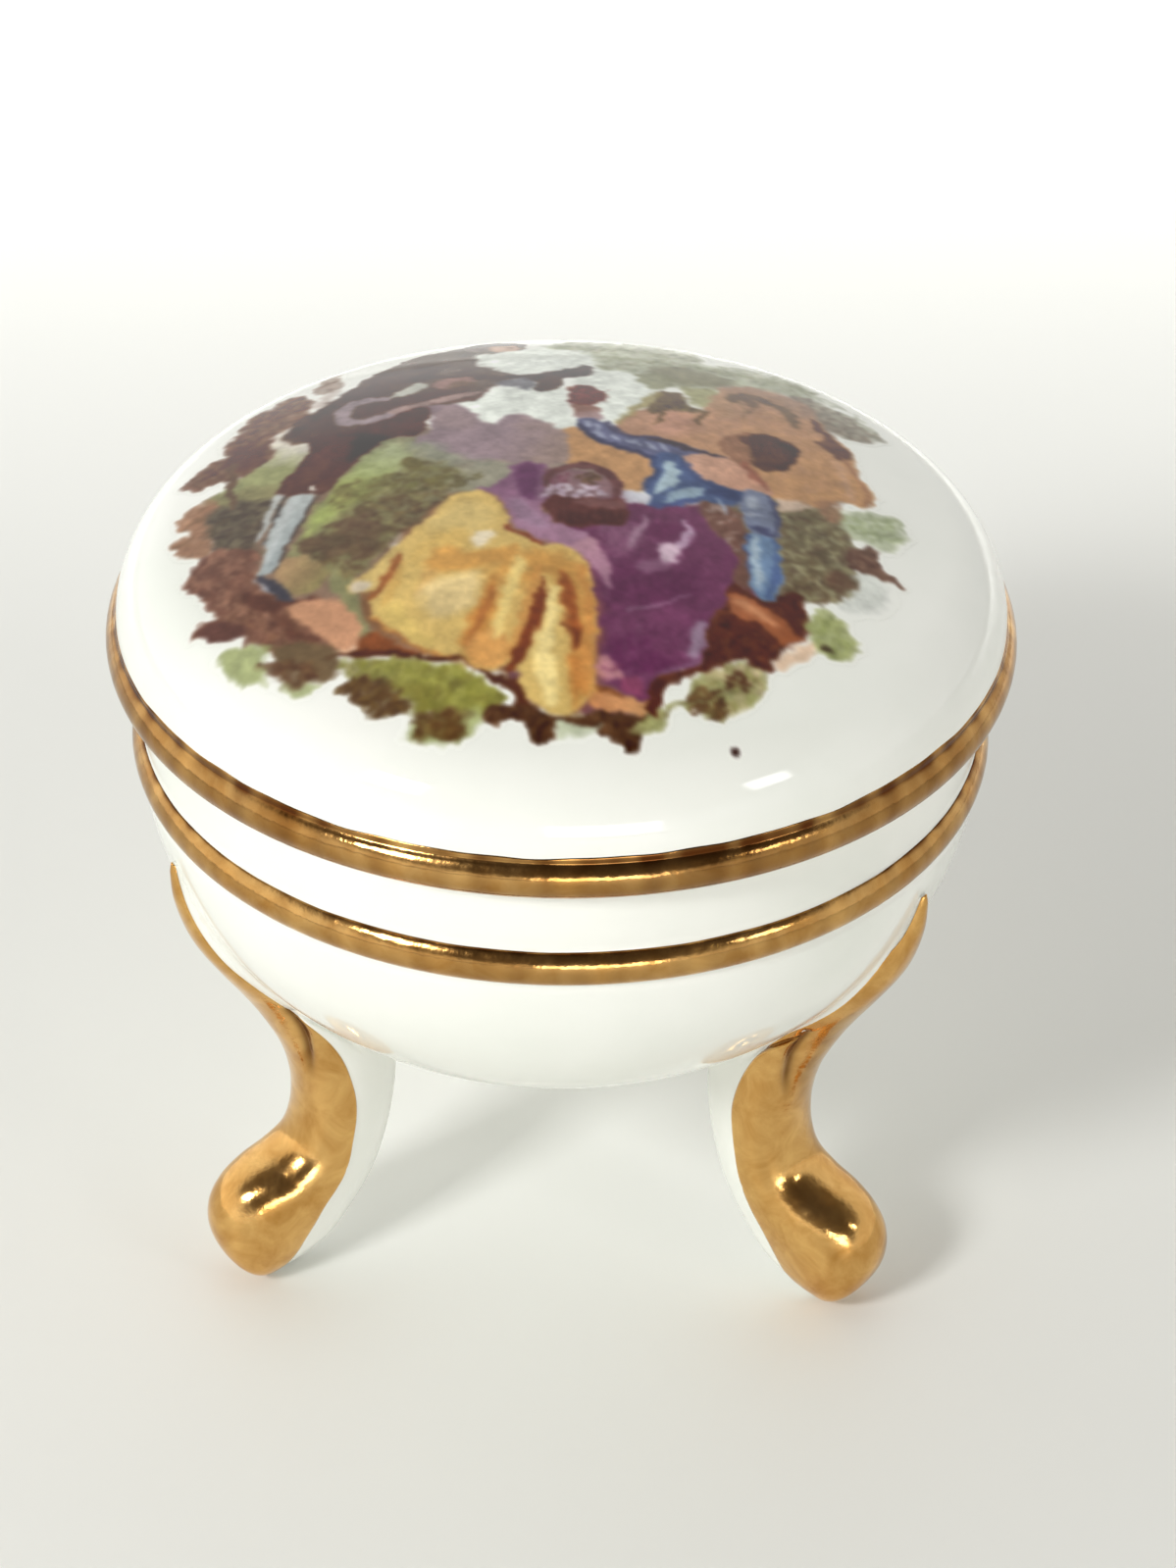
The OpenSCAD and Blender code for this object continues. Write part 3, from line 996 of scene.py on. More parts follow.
def paint_far_trees(c):
    """The pale trees along the far side, and the darker crown on the right."""
    leaf = (166, 170, 143)
    crown = [
        (-0.8, 18.9), (-0.2, 20.5), (2.4, 20.6), (5.2, 20.4), (7.6, 19.2), (8.0, 16.6), (9.2, 17.2),
        (11, 17.2), (13, 16.2), (14.3, 14.6), (13.6, 13.2), (11, 13.1), (8.4, 12), (6.4, 12), (5, 13.6),
        (3.6, 14.1), (2, 14.6), (1.8, 16.6), (0.8, 18),
    ]
    c.area(leaf, crown, 0.45, 0.5, 0.85, mottle=0.1)
    c.dabs([
        (150, 155, 125), (178, 182, 156), (140, 140, 112), (188, 186, 168),
    ], crown, 420, 0.34, 31, 1.2, 0.7, 0.45)
    c.area((134, 130, 100), [
        (5.0, 14.6), (6.2, 15.8), (8.0, 15.2), (9.8, 13.8), (8.4, 12.4), (7, 12.4), (5.8, 13),
    ], 0.4, 0.5, 0.85)
    c.area((136, 136, 104), [
        (4.2, 13.6), (5.6, 14), (6.2, 12.8), (5.8, 11.2), (4.9, 11.2), (4.3, 12.4),
    ], 0.3, 0.3, 0.85)
    c.area((158, 156, 112), [(6.8, 11.8), (8.4, 12.2), (8.6, 10.4), (7.8, 8.8), (6.9, 9.8)], 0.3, 0.25, 0.9)
    right = [
        (12.8, 13.2), (14.4, 13.2), (16, 11.8), (17.6, 10), (17.8, 9.2), (16.8, 8.3), (15.6, 8),
        (14.6, 8.6), (14, 10), (13, 11.4),
    ]
    c.area((142, 130, 114), right, 0.35, 0.4, fade=((14.5, 10), (17.8, 11.5), (186, 188, 170)))
    c.dabs([(120, 108, 94), (160, 158, 138), (132, 118, 102)], right, 110, 0.3, 32, 1.3, 0.7, 0.6)
    c.dabs([(178, 182, 160)], [
        (14, 15), (15.6, 13.6), (17.4, 11.4), (17.2, 10.4), (15.6, 12), (13.6, 13.8),
    ], 60, 0.26, 33, -0.8, 0.6, 0.4)


def paint_rock(c):
    """The warm rock behind the lady, with its little arch and hanging leaves."""
    c.area((188, 144, 100), [
        (-0.3, 4.7), (1, 4.9), (1.8, 3.6), (3.2, 2.6), (4.8, 2), (5.2, 0.6), (4.8, -0.8), (4, -1.8),
        (2.9, -1.6), (2.6, -0.4), (1.4, 0.6), (0.2, 0.7), (-0.4, 1.6), (0.1, 3),
    ], 0.15, 0.12)
    rock = [
        (2.8, 5.6), (3.4, 6.8), (4.4, 8), (5.6, 8.7), (7, 8.2), (7.9, 9), (8.4, 10.8), (9, 12.6),
        (10.4, 13.4), (12.4, 13), (13.8, 12), (14.2, 10), (14.9, 8), (15.7, 7), (16.1, 5.2), (16.2, 3.4),
        (16.7, 2.4), (16.9, 1.2), (16.4, 0), (14.8, 0.1), (14.3, -0.9), (12.6, -1), (11, -1), (10, 1.2),
        (8, 2.6), (5.6, 3.4), (4, 4), (2.8, 4.9),
    ]
    c.area((182, 142, 116), rock, 0.18, 0.15, fade=((7, 8), (14, 0), (186, 142, 98)), mottle=0.06)
    c.area((193, 147, 126), [
        (5.4, 7.6), (6.6, 7.9), (7.3, 6.6), (6.8, 5), (5.6, 4.6), (4.8, 5.6),
    ], 0.6, 0.3, 0.8)
    c.area((164, 134, 112), [
        (9, 13), (11, 13.6), (13.6, 12.6), (14.2, 10.6), (13.4, 9.6), (12.2, 11.6), (10.6, 12.4), (9.2, 12),
    ], 0.4, 0.3, 0.85)
    c.area((174, 140, 110), [(8.2, 10.2), (9, 12), (9.4, 10.6), (9.6, 8.6), (8.6, 8)], 0.4, 0.3, 0.8)
    c.dabs([
        (200, 156, 128), (170, 126, 96), (192, 150, 104), (160, 122, 92),
    ], rock, 260, 0.42, 41, 0.9, 0.8, 0.16, 0.35)
    arch = (118, 96, 74)
    c.stroke(arch, [
        (9.5, 10.6, 0.3), (9.6, 11.3, 0.5), (10.4, 11.8, 0.5), (11.4, 11.4, 0.5), (12.2, 10.6, 0.42),
        (12.7, 9.6, 0.34), (12.9, 8.2, 0.16),
    ], 0.2, 0.22)
    c.stroke(arch, [(10.2, 11.2, 0.4), (10.6, 10.4, 0.3), (10.3, 9.2, 0.1)], 0.2, 0.2, 0.8)
    c.stroke((150, 124, 96), [(9.9, 10.4, 0.15), (10.1, 9.2, 0.1), (9.9, 8.2, 0.05)], 0.12, 0.1, 0.7)
    bush = [
        (4.5, 7.8), (5, 9.4), (5.4, 10.7), (6.4, 11), (6.9, 10), (7, 8.9), (7.9, 8.6), (7.7, 7.9),
        (6.8, 8.2), (5.8, 8), (5.2, 7.4),
    ]
    c.area((118, 100, 76), bush, 0.18, 0.25)
    c.dabs([(98, 82, 60), (134, 118, 84), (108, 88, 66)], bush, 46, 0.26, 42, 1.3, 0.8)
    c.stroke((152, 138, 88), [
        (5.2, 10.4, 0.3), (4.4, 8.8, 0.28), (3.6, 7.2, 0.24), (2.9, 5.8, 0.16),
    ], 0.2, 0.12, 0.8)
    c.stroke((112, 88, 62), [(5.5, 7.8, 0.16), (5.3, 6.8, 0.14), (5.1, 6, 0.12)], 0.1)
    c.stroke((112, 88, 62), [(7.8, 8.3, 0.18), (7.5, 7.2, 0.14), (7.3, 6.4, 0.06)], 0.1)
    c.area((108, 76, 60), [
        (14, 9.9), (14.6, 8.4), (15.3, 7.2), (15.9, 6), (15.7, 5.1), (15, 5), (14.4, 6.2), (13.8, 6.6),
        (14.4, 7.6), (13.9, 8.8),
    ], 0.14, 0.18)
    c.stroke((150, 106, 80), [
        (15.5, 5.2, 0.2), (16, 3.4, 0.14), (16.5, 1.8, 0.14), (16.5, 0.2, 0.1),
    ], 0.16, 0.1, 0.7)
    c.stroke((196, 158, 132), [(15, 4.6, 0.2), (15.4, 2.4, 0.24), (15.6, 0.6, 0.2)], 0.3, 0.1, 0.6)


def paint_left_tree(c):
    """The brown tree at the left edge, with a twig above it and its trunk."""
    crown = [
        (-20.9, 3.9), (-20.4, 4.8), (-19.6, 5.8), (-18.8, 6.4), (-18.7, 7.6), (-18.9, 8.3), (-18.2, 9.2),
        (-18.4, 10.3), (-17.8, 11), (-17.6, 11.9), (-16.7, 12.2), (-16.2, 13.1), (-15.3, 13.5), (-14.6, 13),
        (-14.2, 12), (-14.5, 11), (-14.2, 9.4), (-15.2, 8.4), (-15.9, 8), (-16.1, 7.2), (-16.5, 6.6),
        (-16, 5.8), (-16.2, 4.6), (-17, 3.9), (-17.7, 3.3), (-18.2, 2.8), (-18.8, 3.4), (-19.4, 3),
        (-19.9, 2.7), (-20.4, 3.1),
    ]
    c.area((110, 76, 62), crown, 0.2, 0.4, fade=((-18, 5.5), (-16, 12.5), (140, 116, 100)), mottle=0.12)
    c.dabs([(92, 62, 50), (128, 96, 78), (118, 84, 66), (146, 120, 98)], crown, 380, 0.3, 51, 1.2, 1.0, 0.5)
    c.area((90, 60, 48), [
        (-18.6, 6.8), (-17.4, 7.4), (-16.4, 6.2), (-16.6, 4.6), (-17.8, 3.8), (-18.6, 5),
    ], 0.3, 0.35, 0.6)
    twig = [
        (-14.3, 13.2), (-14.2, 14.6), (-13.7, 15.8), (-13.2, 16.5), (-12.9, 15.4), (-12.7, 14.2),
        (-13.3, 13.2),
    ]
    c.area((152, 130, 114), twig, 0.3, 0.3, 0.75)
    c.dabs([(138, 112, 96), (170, 150, 134)], twig, 46, 0.26, 52, 1.2, 0.8, 0.5)
    c.area((206, 192, 182), [
        (-14.3, 10.9), (-13.7, 12.6), (-12.8, 13.4), (-12.9, 12.4), (-13.7, 10.7),
    ], 0.25, 0.15, 0.8)
    c.stroke((104, 80, 62), [
        (-18.3, 5, 0.34), (-18.2, 3.2, 0.28), (-18.1, 1.6, 0.22), (-17.9, 0, 0.2),
    ], 0.08, 0.05)
    c.stroke((150, 112, 92), [(-20.8, 3.9, 0.12), (-20.3, 3.2, 0.16), (-19.8, 2.9, 0.1)], 0.1, 0.1, 0.7)


def paint_left_field(c):
    """The field between the tree's trunk and the musician's leg, with a dark bush."""
    field = [
        (-16.7, 7.1), (-16.2, 7.3), (-15.8, 8.6), (-15.5, 8), (-15.6, 6.8), (-14.8, 6), (-13.8, 6),
        (-13.8, 4.6), (-14.6, 2.8), (-15.4, 1.2), (-16, -0.6), (-17.4, -1.2), (-19, -0.4), (-20, 0.4),
        (-19, 1.6), (-18.1, 3), (-17, 3.8), (-16.1, 4.8), (-16, 5.8),
    ]
    c.area((218, 212, 198), field, 0.15, 0.15, fade=((-15.4, 6), (-16.4, 3.6), (148, 150, 104)))
    c.area((132, 124, 86), [
        (-19.8, 0.8), (-18.2, 1.6), (-16, 1.4), (-15.2, 0.6), (-15.6, -1), (-18, -1.4), (-20, -0.6),
    ], 0.5, 0.3, 0.8)
    edge = [
        (-20.6, 0.6), (-19.6, 1.2), (-18.6, 0.6), (-18.4, -1), (-18.6, -3.4), (-19.4, -4.4), (-20.6, -3.4),
        (-21, -2.4), (-20.2, -1.6), (-20.8, -0.6),
    ]
    c.area((152, 114, 88), edge, 0.2, 0.4, mottle=0.1)
    c.dabs([(170, 132, 104), (128, 96, 70), (140, 100, 76)], edge, 80, 0.3, 53, 1.0, 1.2, 0.5)
    bush = [
        (-19.2, -0.2), (-18, 0.4), (-16.6, 0.2), (-15.4, -0.4), (-15.9, -2), (-16.4, -4), (-16.1, -5.4),
        (-17.2, -5.4), (-18.4, -4.2), (-18.9, -2.4),
    ]
    c.area((92, 82, 66), bush, 0.35, 0.35, mottle=0.12)
    c.dabs([(76, 64, 52), (112, 102, 80), (88, 74, 58), (66, 52, 46)], bush, 150, 0.32, 54, 0.6, 1.4, 0.6)


def paint_red_bank(c):
    """The reddish bank under the musician's feet."""
    bank = [
        (-18.6, -4), (-19.7, -5), (-20, -6.4), (-19.4, -7.4), (-18.7, -8.2), (-18.7, -9), (-18.2, -9.7),
        (-19, -10.2), (-19.4, -10.8), (-18.4, -11.3), (-17.2, -11.7), (-16.6, -11.5), (-16.3, -12.4),
        (-15.4, -12.8), (-14.8, -13.8), (-13.4, -14.4), (-12, -14.4), (-10.4, -14.3), (-10.6, -12.8),
        (-12, -11), (-13, -9.8), (-14.4, -9.4), (-15.4, -8.4), (-16.2, -6.8), (-16.2, -5.2), (-17.2, -4.4),
    ]
    c.area((112, 74, 58), bank, 0.18, 0.4, fade=((-18, -7), (-13, -13), (120, 84, 62)), mottle=0.12)
    c.dabs([
        (88, 54, 44), (136, 96, 76), (120, 82, 66), (98, 62, 50), (150, 110, 88),
    ], bank, 420, 0.34, 55, 1.9, 0.7, 0.5)
    c.area((84, 50, 44), [
        (-19, -10.4), (-18, -10.2), (-16.8, -10.8), (-16.4, -11.6), (-17.4, -11.8), (-18.6, -11.3),
    ], 0.2, 0.25, 0.8)
    c.stroke((84, 48, 38), [
        (-16.6, -8.6, 0.3), (-15.4, -9.6, 0.45), (-14, -10, 0.35), (-12.8, -10, 0.12),
    ], 0.25, 0.2, 0.85)
    c.stroke((96, 56, 42), [(-14.6, -10.8, 0.3), (-13.8, -12, 0.3), (-12.8, -13, 0.2)], 0.3, 0.2, 0.7)
    c.area((166, 136, 98), [
        (-14.9, -6.2), (-13.6, -6.3), (-12.4, -7.2), (-12.3, -8.4), (-13, -9.2), (-14, -9.2), (-14.8, -8.2),
        (-15, -7),
    ], 0.2, 0.15, fade=((-14.8, -7), (-12.4, -8), (138, 126, 82)))
    c.area((192, 142, 108), [
        (-14.3, -10.3), (-13.2, -9.9), (-11.8, -10.2), (-11, -11), (-10.4, -12.2), (-10.3, -13.3),
        (-10.9, -14), (-11.7, -13.6), (-12.6, -12.6), (-13.6, -11.4),
    ], 0.16, 0.15, mottle=0.08)
    c.stroke((206, 168, 138), [
        (-12, -13.9, 0.06), (-10.9, -14, 0.14), (-10, -13.6, 0.16), (-9.5, -13.7, 0.05),
    ], 0.1, 0.05)


def paint_hills(c):
    """The green hill between the figures."""
    hill = [
        (-14.5, -5.8), (-13.9, -4), (-13.2, -1.6), (-12.3, 0.4), (-11.2, 2.4), (-10.2, 4), (-9.4, 4.8),
        (-8, 4.6), (-7, 3.4), (-6, 2), (-4.6, 1.3), (-2.8, 0.8), (-2.6, -1), (-4, -1.9), (-6, -1.9),
        (-7, -3), (-8.4, -5), (-10, -7.4), (-10.9, -8.8), (-10.6, -10.4), (-10, -12.4), (-9.6, -13.2),
        (-10.6, -13), (-11.2, -11), (-12, -9.4), (-12.3, -8), (-13, -6.8),
    ]
    c.area((134, 132, 92), hill, 0.18, 0.2, fade=((-11, 0), (-4, 1), (146, 142, 124)), mottle=0.1)
    c.area((154, 164, 94), [
        (-13.8, -4.4), (-13, -1.6), (-11.8, 1), (-10.4, 3.4), (-9.3, 4.3), (-8.4, 3.2), (-8.6, 1.4),
        (-9.4, -0.2), (-10.8, -1.6), (-12.2, -3.4),
    ], 0.5, 0.4, fade=((-11.4, -0.6), (-8.6, 3.6), (160, 166, 128)))
    slope = [
        (-13.9, -5), (-12.6, -3.8), (-11.4, -2.4), (-9.6, -1.6), (-8, -1), (-6, -1.4), (-6.6, -2.8),
        (-8, -4.8), (-9.6, -7), (-11, -8.6), (-11.8, -7.8), (-13, -6.4),
    ]
    c.area((116, 104, 70), slope, 0.6, 0.7, 0.55, mottle=0.2)
    c.dabs([(92, 72, 50), (112, 94, 60), (80, 58, 42), (130, 122, 78)], slope, 330, 0.3, 61, 0.5, 1.5, 0.5)
    c.area((84, 60, 46), [
        (-13.8, -5), (-12.4, -4.4), (-11.2, -3), (-10, -2.6), (-9.8, -4), (-9.6, -5.6), (-10.4, -7),
        (-12, -6.8), (-13.4, -6),
    ], 0.35, 0.7, 0.62, mottle=0.2)
    c.dabs([(96, 88, 56), (88, 76, 50)], [
        (-9.6, 0.4), (-8.2, 0.2), (-6.4, -0.4), (-5, 0), (-4.6, -0.8), (-6.4, -1.6), (-8.6, -1.6),
    ], 60, 0.22, 62)
    c.area((104, 92, 54), [(-8.6, 2.1), (-8, 1.9), (-7.6, 1), (-8, 0.6), (-8.6, 1.2)], 0.12, 0.15, 0.9)
    c.area((112, 100, 84), [(-5.8, 1.6), (-4.8, 1.6), (-4.7, 0.9), (-5.6, 0.7)], 0.2, 0.2, 0.8)
    meadow = [
        (-12.6, -1.4), (-11.4, 0.4), (-9.6, 0.6), (-7.8, 1.4), (-6, 1), (-5.6, -1.2), (-8, -1), (-11, -2.6),
    ]
    c.area((118, 112, 66), meadow, 0.7, 0.6, 0.5, mottle=0.15)
    c.dabs([(104, 92, 54), (124, 120, 70), (90, 74, 46)], meadow, 130, 0.3, 63, 0.4, 1.0, 0.4)


def paint_lilac_hill(c):
    """The lilac hill behind the green one."""
    lilac = [
        (-8.3, 9), (-7.5, 8.9), (-6, 8.8), (-5.4, 8), (-4.6, 6.3), (-3.9, 5.5), (-3.3, 6.5), (-2.4, 6.7),
        (-1.3, 6), (-0.4, 5), (0.3, 3.6), (0.3, 1.4), (-0.8, 0.7), (-2.2, 0.8), (-3.6, 1.3), (-5.2, 1.6),
        (-6.4, 2.6), (-7.6, 3.6), (-8.2, 4.4), (-7.5, 5), (-7.4, 6.8),
    ]
    c.area((148, 128, 134), lilac, 0.2, 0.15, fade=((-3.5, 4), (0.4, 3), (156, 134, 124)), mottle=0.05)
    c.area((150, 152, 138), [
        (-8.2, 4), (-6.8, 3.6), (-5.6, 2), (-4, 1.4), (-4.4, 0.8), (-6.4, 1.2), (-8, 2.8),
    ], 0.5, 0.3, 0.6)
    c.area((158, 136, 134), [(-7.2, 8.2), (-5.8, 8.2), (-4.8, 6), (-5.6, 5), (-7.2, 6)], 0.5, 0.2, 0.5)


def paint_coat(c):
    """The musician's coat."""
    c.area((140, 120, 126), [(-8.6, 8), (-8, 9.4), (-6.9, 9.2), (-6.9, 7.8), (-7.8, 7.4)], 0.2, 0.1)
    coat = [
        (-15.1, 8.8), (-15.6, 7.4), (-15.2, 6.4), (-14.2, 6), (-13.6, 6.2), (-12.4, 6.2), (-11.2, 6.2),
        (-10.6, 7.2), (-9.4, 8), (-8, 8.7), (-6.4, 8.7), (-5.2, 9), (-4.4, 9.8), (-4.1, 11), (-3.2, 11.8),
        (-2.8, 12.6), (-2.9, 13.3), (-4, 14.1), (-4.8, 14.9), (-5.1, 16), (-5.1, 17.5), (-3.8, 17.9),
        (-2.5, 18.3), (-2.2, 19), (-2.8, 19.9), (-3.7, 20.5), (-5, 20.3), (-6.2, 19.5), (-7.2, 18.9),
        (-8.2, 18.6), (-9.2, 17.5), (-10.4, 16), (-11.4, 14.6), (-12.2, 13), (-12.9, 11.7), (-13.6, 10.7),
        (-14.4, 9.9),
    ]
    c.area((92, 72, 62), coat, 0.14, 0.12, fade=((-11, 8), (-6, 18.5), (126, 114, 108)), mottle=0.07)
    c.dabs([(84, 64, 56), (114, 98, 88), (102, 86, 76)], coat, 260, 0.5, 71, 1.1, 0.3, 0.25, 0.3)
    c.area((100, 84, 80), [
        (-13, 11.4), (-12, 13.2), (-10.8, 12.8), (-10.4, 11.4), (-11.6, 10.8),
    ], 0.5, 0.3, 0.6)
    c.area((92, 76, 68), [
        (-9.4, 13.2), (-8.2, 14), (-6, 13.4), (-3.6, 13), (-4, 12), (-6.6, 13), (-8.2, 12.8),
    ], 0.35, 0.2, 0.6)


def paint_bent_head(c):
    """A three-cornered hat, powdered hair and a calm, plain face turned to the lady."""
    c.area((150, 138, 134), [
        (-5.6, 18.4), (-6.1, 19.2), (-5.2, 19.9), (-4.2, 19.6), (-4, 18.6), (-4.8, 18.1),
    ], 0.12, 0.08)
    c.area((206, 176, 158), [
        (-4.4, 19.6), (-3.3, 19.7), (-2.75, 19.2), (-2.45, 18.8), (-2.7, 18.6), (-2.75, 18.25), (-3.2, 18),
        (-4, 18.1), (-4.5, 18.7),
    ], 0.1, 0.02)
    c.stroke((110, 84, 76), [(-3.5, 19.1, 0.05), (-3.2, 19.06, 0.06), (-2.98, 18.98, 0.03)], 0.05, 0)
    c.stroke((168, 104, 96), [(-3.0, 18.4, 0.04), (-2.8, 18.36, 0.04)], 0.05, 0)
    c.area((112, 100, 100), [
        (-5.9, 19.5), (-4.8, 20.4), (-3.6, 20.6), (-2.7, 20), (-2.3, 19.4), (-3.4, 19.6), (-4.6, 19.8),
    ], 0.1, 0.06)


def paint_breeches(c):
    """The musician's breeches."""
    breeches = [
        (-13.9, 6.4), (-14, 4.6), (-14.6, 3), (-15.3, 1.6), (-15.5, 0.6), (-14.9, 0), (-14.2, -0.2),
        (-12.9, -0.4), (-12.2, 0.6), (-11.5, 2), (-10.6, 3.6), (-9.8, 4.6), (-9, 4.9), (-8, 4.7), (-7.6, 6),
        (-7.5, 8.3), (-8.5, 8.7), (-9.6, 8), (-10.8, 7.1), (-12, 6.5),
    ]
    c.area((90, 58, 50), breeches, 0.1, 0.08, mottle=0.1)
    c.area((56, 42, 38), [
        (-11.4, 5.6), (-10.4, 5.5), (-9.6, 4.9), (-10.4, 4), (-11.2, 2.8), (-11.8, 3), (-11.6, 4.4),
    ], 0.4, 0.15, 0.8)
    c.area((104, 70, 60), [
        (-13.2, 4.8), (-12.4, 4.6), (-12.8, 2.4), (-13.8, 1), (-14.3, 2),
    ], 0.4, 0.15, 0.7)
    c.stroke((72, 48, 42), [(-12.4, 6.2, 0.14), (-11.2, 5.6, 0.18), (-9.6, 5, 0.14)], 0.2, 0.1, 0.7)


def paint_instrument(c):
    """The stringed instrument, with its neck held out to the right, and the musician's hands and cuffs."""
    c.area((96, 74, 68), [
        (-11.6, 9.6), (-10.4, 10), (-8, 10.6), (-6, 11.4), (-5.2, 11), (-6.4, 9.9), (-9, 9), (-11, 8),
    ], 0.15, 0.1)
    c.stroke((156, 140, 144), [
        (-10, 10.5, 0.3), (-11, 10.7, 0.42), (-12.1, 10.2, 0.48), (-12.5, 9.1, 0.5), (-12.2, 8, 0.45),
        (-11.3, 7.5, 0.42), (-10.2, 7.8, 0.4), (-9.2, 8.5, 0.38),
    ], 0.14, 0.1)
    c.stroke((164, 138, 132), [
        (-9.4, 8.4, 0.34), (-8, 9, 0.32), (-6.4, 9.6, 0.38), (-4.9, 10.2, 0.3),
    ], 0.14, 0.1)
    c.stroke((120, 84, 78), [
        (-7.4, 9, 0.08), (-5.8, 9.1, 0.1), (-4.6, 9.8, 0.12), (-4.2, 10.8, 0.1),
    ], 0.1, 0.05, 0.8)
    c.area((198, 198, 186), [
        (-9.8, 10.5), (-9.4, 11.4), (-8.6, 12.2), (-8.1, 12.8), (-7.7, 12), (-8.2, 11.2), (-9, 10.7),
    ], 0.14, 0.12)
    c.area((158, 124, 116), [
        (-7.2, 12.7), (-6.2, 13), (-5.3, 12.7), (-5.2, 12), (-5.8, 11.5), (-6.8, 11.2), (-7.3, 11.8),
    ], 0.22, 0.12)
    c.area((104, 84, 66), [
        (-6.2, 12.2), (-5.4, 12.2), (-5, 11.2), (-5.8, 10.6), (-6.6, 11.2),
    ], 0.25, 0.1, 0.7)
    c.area((90, 76, 72), [
        (-3.4, 13), (-2.4, 13.1), (-1, 13.4), (0.4, 14.2), (1.2, 14.9), (1.7, 14.3), (1.5, 13.2),
        (0.8, 12.6), (0, 12.3), (-0.1, 11), (-0.8, 10.2), (-1.6, 10.3), (-1.5, 11.6), (-2.4, 12.2),
        (-3.2, 12.3),
    ], 0.13, 0.1)
    c.area((104, 82, 66), [
        (-1.3, 12.4), (-0.3, 12.6), (-0.2, 11), (-0.9, 10.3), (-1.5, 10.8),
    ], 0.15, 0.1, 0.8)
    c.area((118, 116, 122), [
        (-3.8, 11.8), (-2.8, 12.4), (-1.8, 12.2), (-1.7, 10.9), (-2, 10.1), (-2.6, 10.7), (-3.4, 11.2),
    ], 0.2, 0.15, 0.9)
    c.stroke((128, 104, 94), [(0.2, 13.4, 0.12), (1.3, 14.3, 0.12)], 0.1, 0.05, 0.6)


def paint_stockings(c):
    """The musician's stockings and shoe."""
    c.stroke((176, 178, 174), [(-15.3, 0.1, 0.24), (-15.8, -1.6, 0.2), (-16.2, -3.8, 0.14)], 0.1, 0.05)
    c.stroke((66, 60, 58), [(-15, 0, 0.1), (-15.4, -2, 0.12), (-15.8, -4.4, 0.08)], 0.1, 0.05)
    stocking = [
        (-14.7, -0.2), (-14, -0.2), (-13.4, -0.7), (-13.7, -1.8), (-14.2, -3.4), (-14.6, -5), (-15, -6.2),
        (-15.2, -7), (-16, -7.1), (-15.8, -6), (-15.8, -4.4), (-15.6, -3), (-15.2, -1.6),
    ]
    c.area(
        (180, 186, 184), stocking, 0.09, 0.04, fade=((-15.4, -3.5), (-14.3, -4), (150, 158, 158)),
        mottle=0.04,
    )
    c.stroke((196, 198, 198), [(-14.6, -1, 0.1), (-15.1, -3.4, 0.1), (-15.5, -6, 0.08)], 0.2, 0.03, 0.7)
    c.stroke((62, 52, 48), [
        (-13.3, -0.6, 0.06), (-13.7, -2, 0.1), (-14.5, -4.8, 0.1), (-15.1, -7, 0.08),
    ], 0.09, 0.04, 0.9)
    c.stroke((236, 234, 222), [(-13.6, 0.4, 0.1), (-13.55, 0, 0.12)], 0.07, 0.02)
    c.stroke((62, 60, 70), [
        (-15.9, -7.3, 0.2), (-15.2, -8.2, 0.42), (-14.5, -9.2, 0.3), (-14, -9.7, 0.08),
    ], 0.12, 0.08)
    c.stroke((168, 170, 176), [(-16.2, -7.4, 0.1), (-15.7, -8.2, 0.1), (-15.2, -8.8, 0.05)], 0.1, 0.04, 0.8)


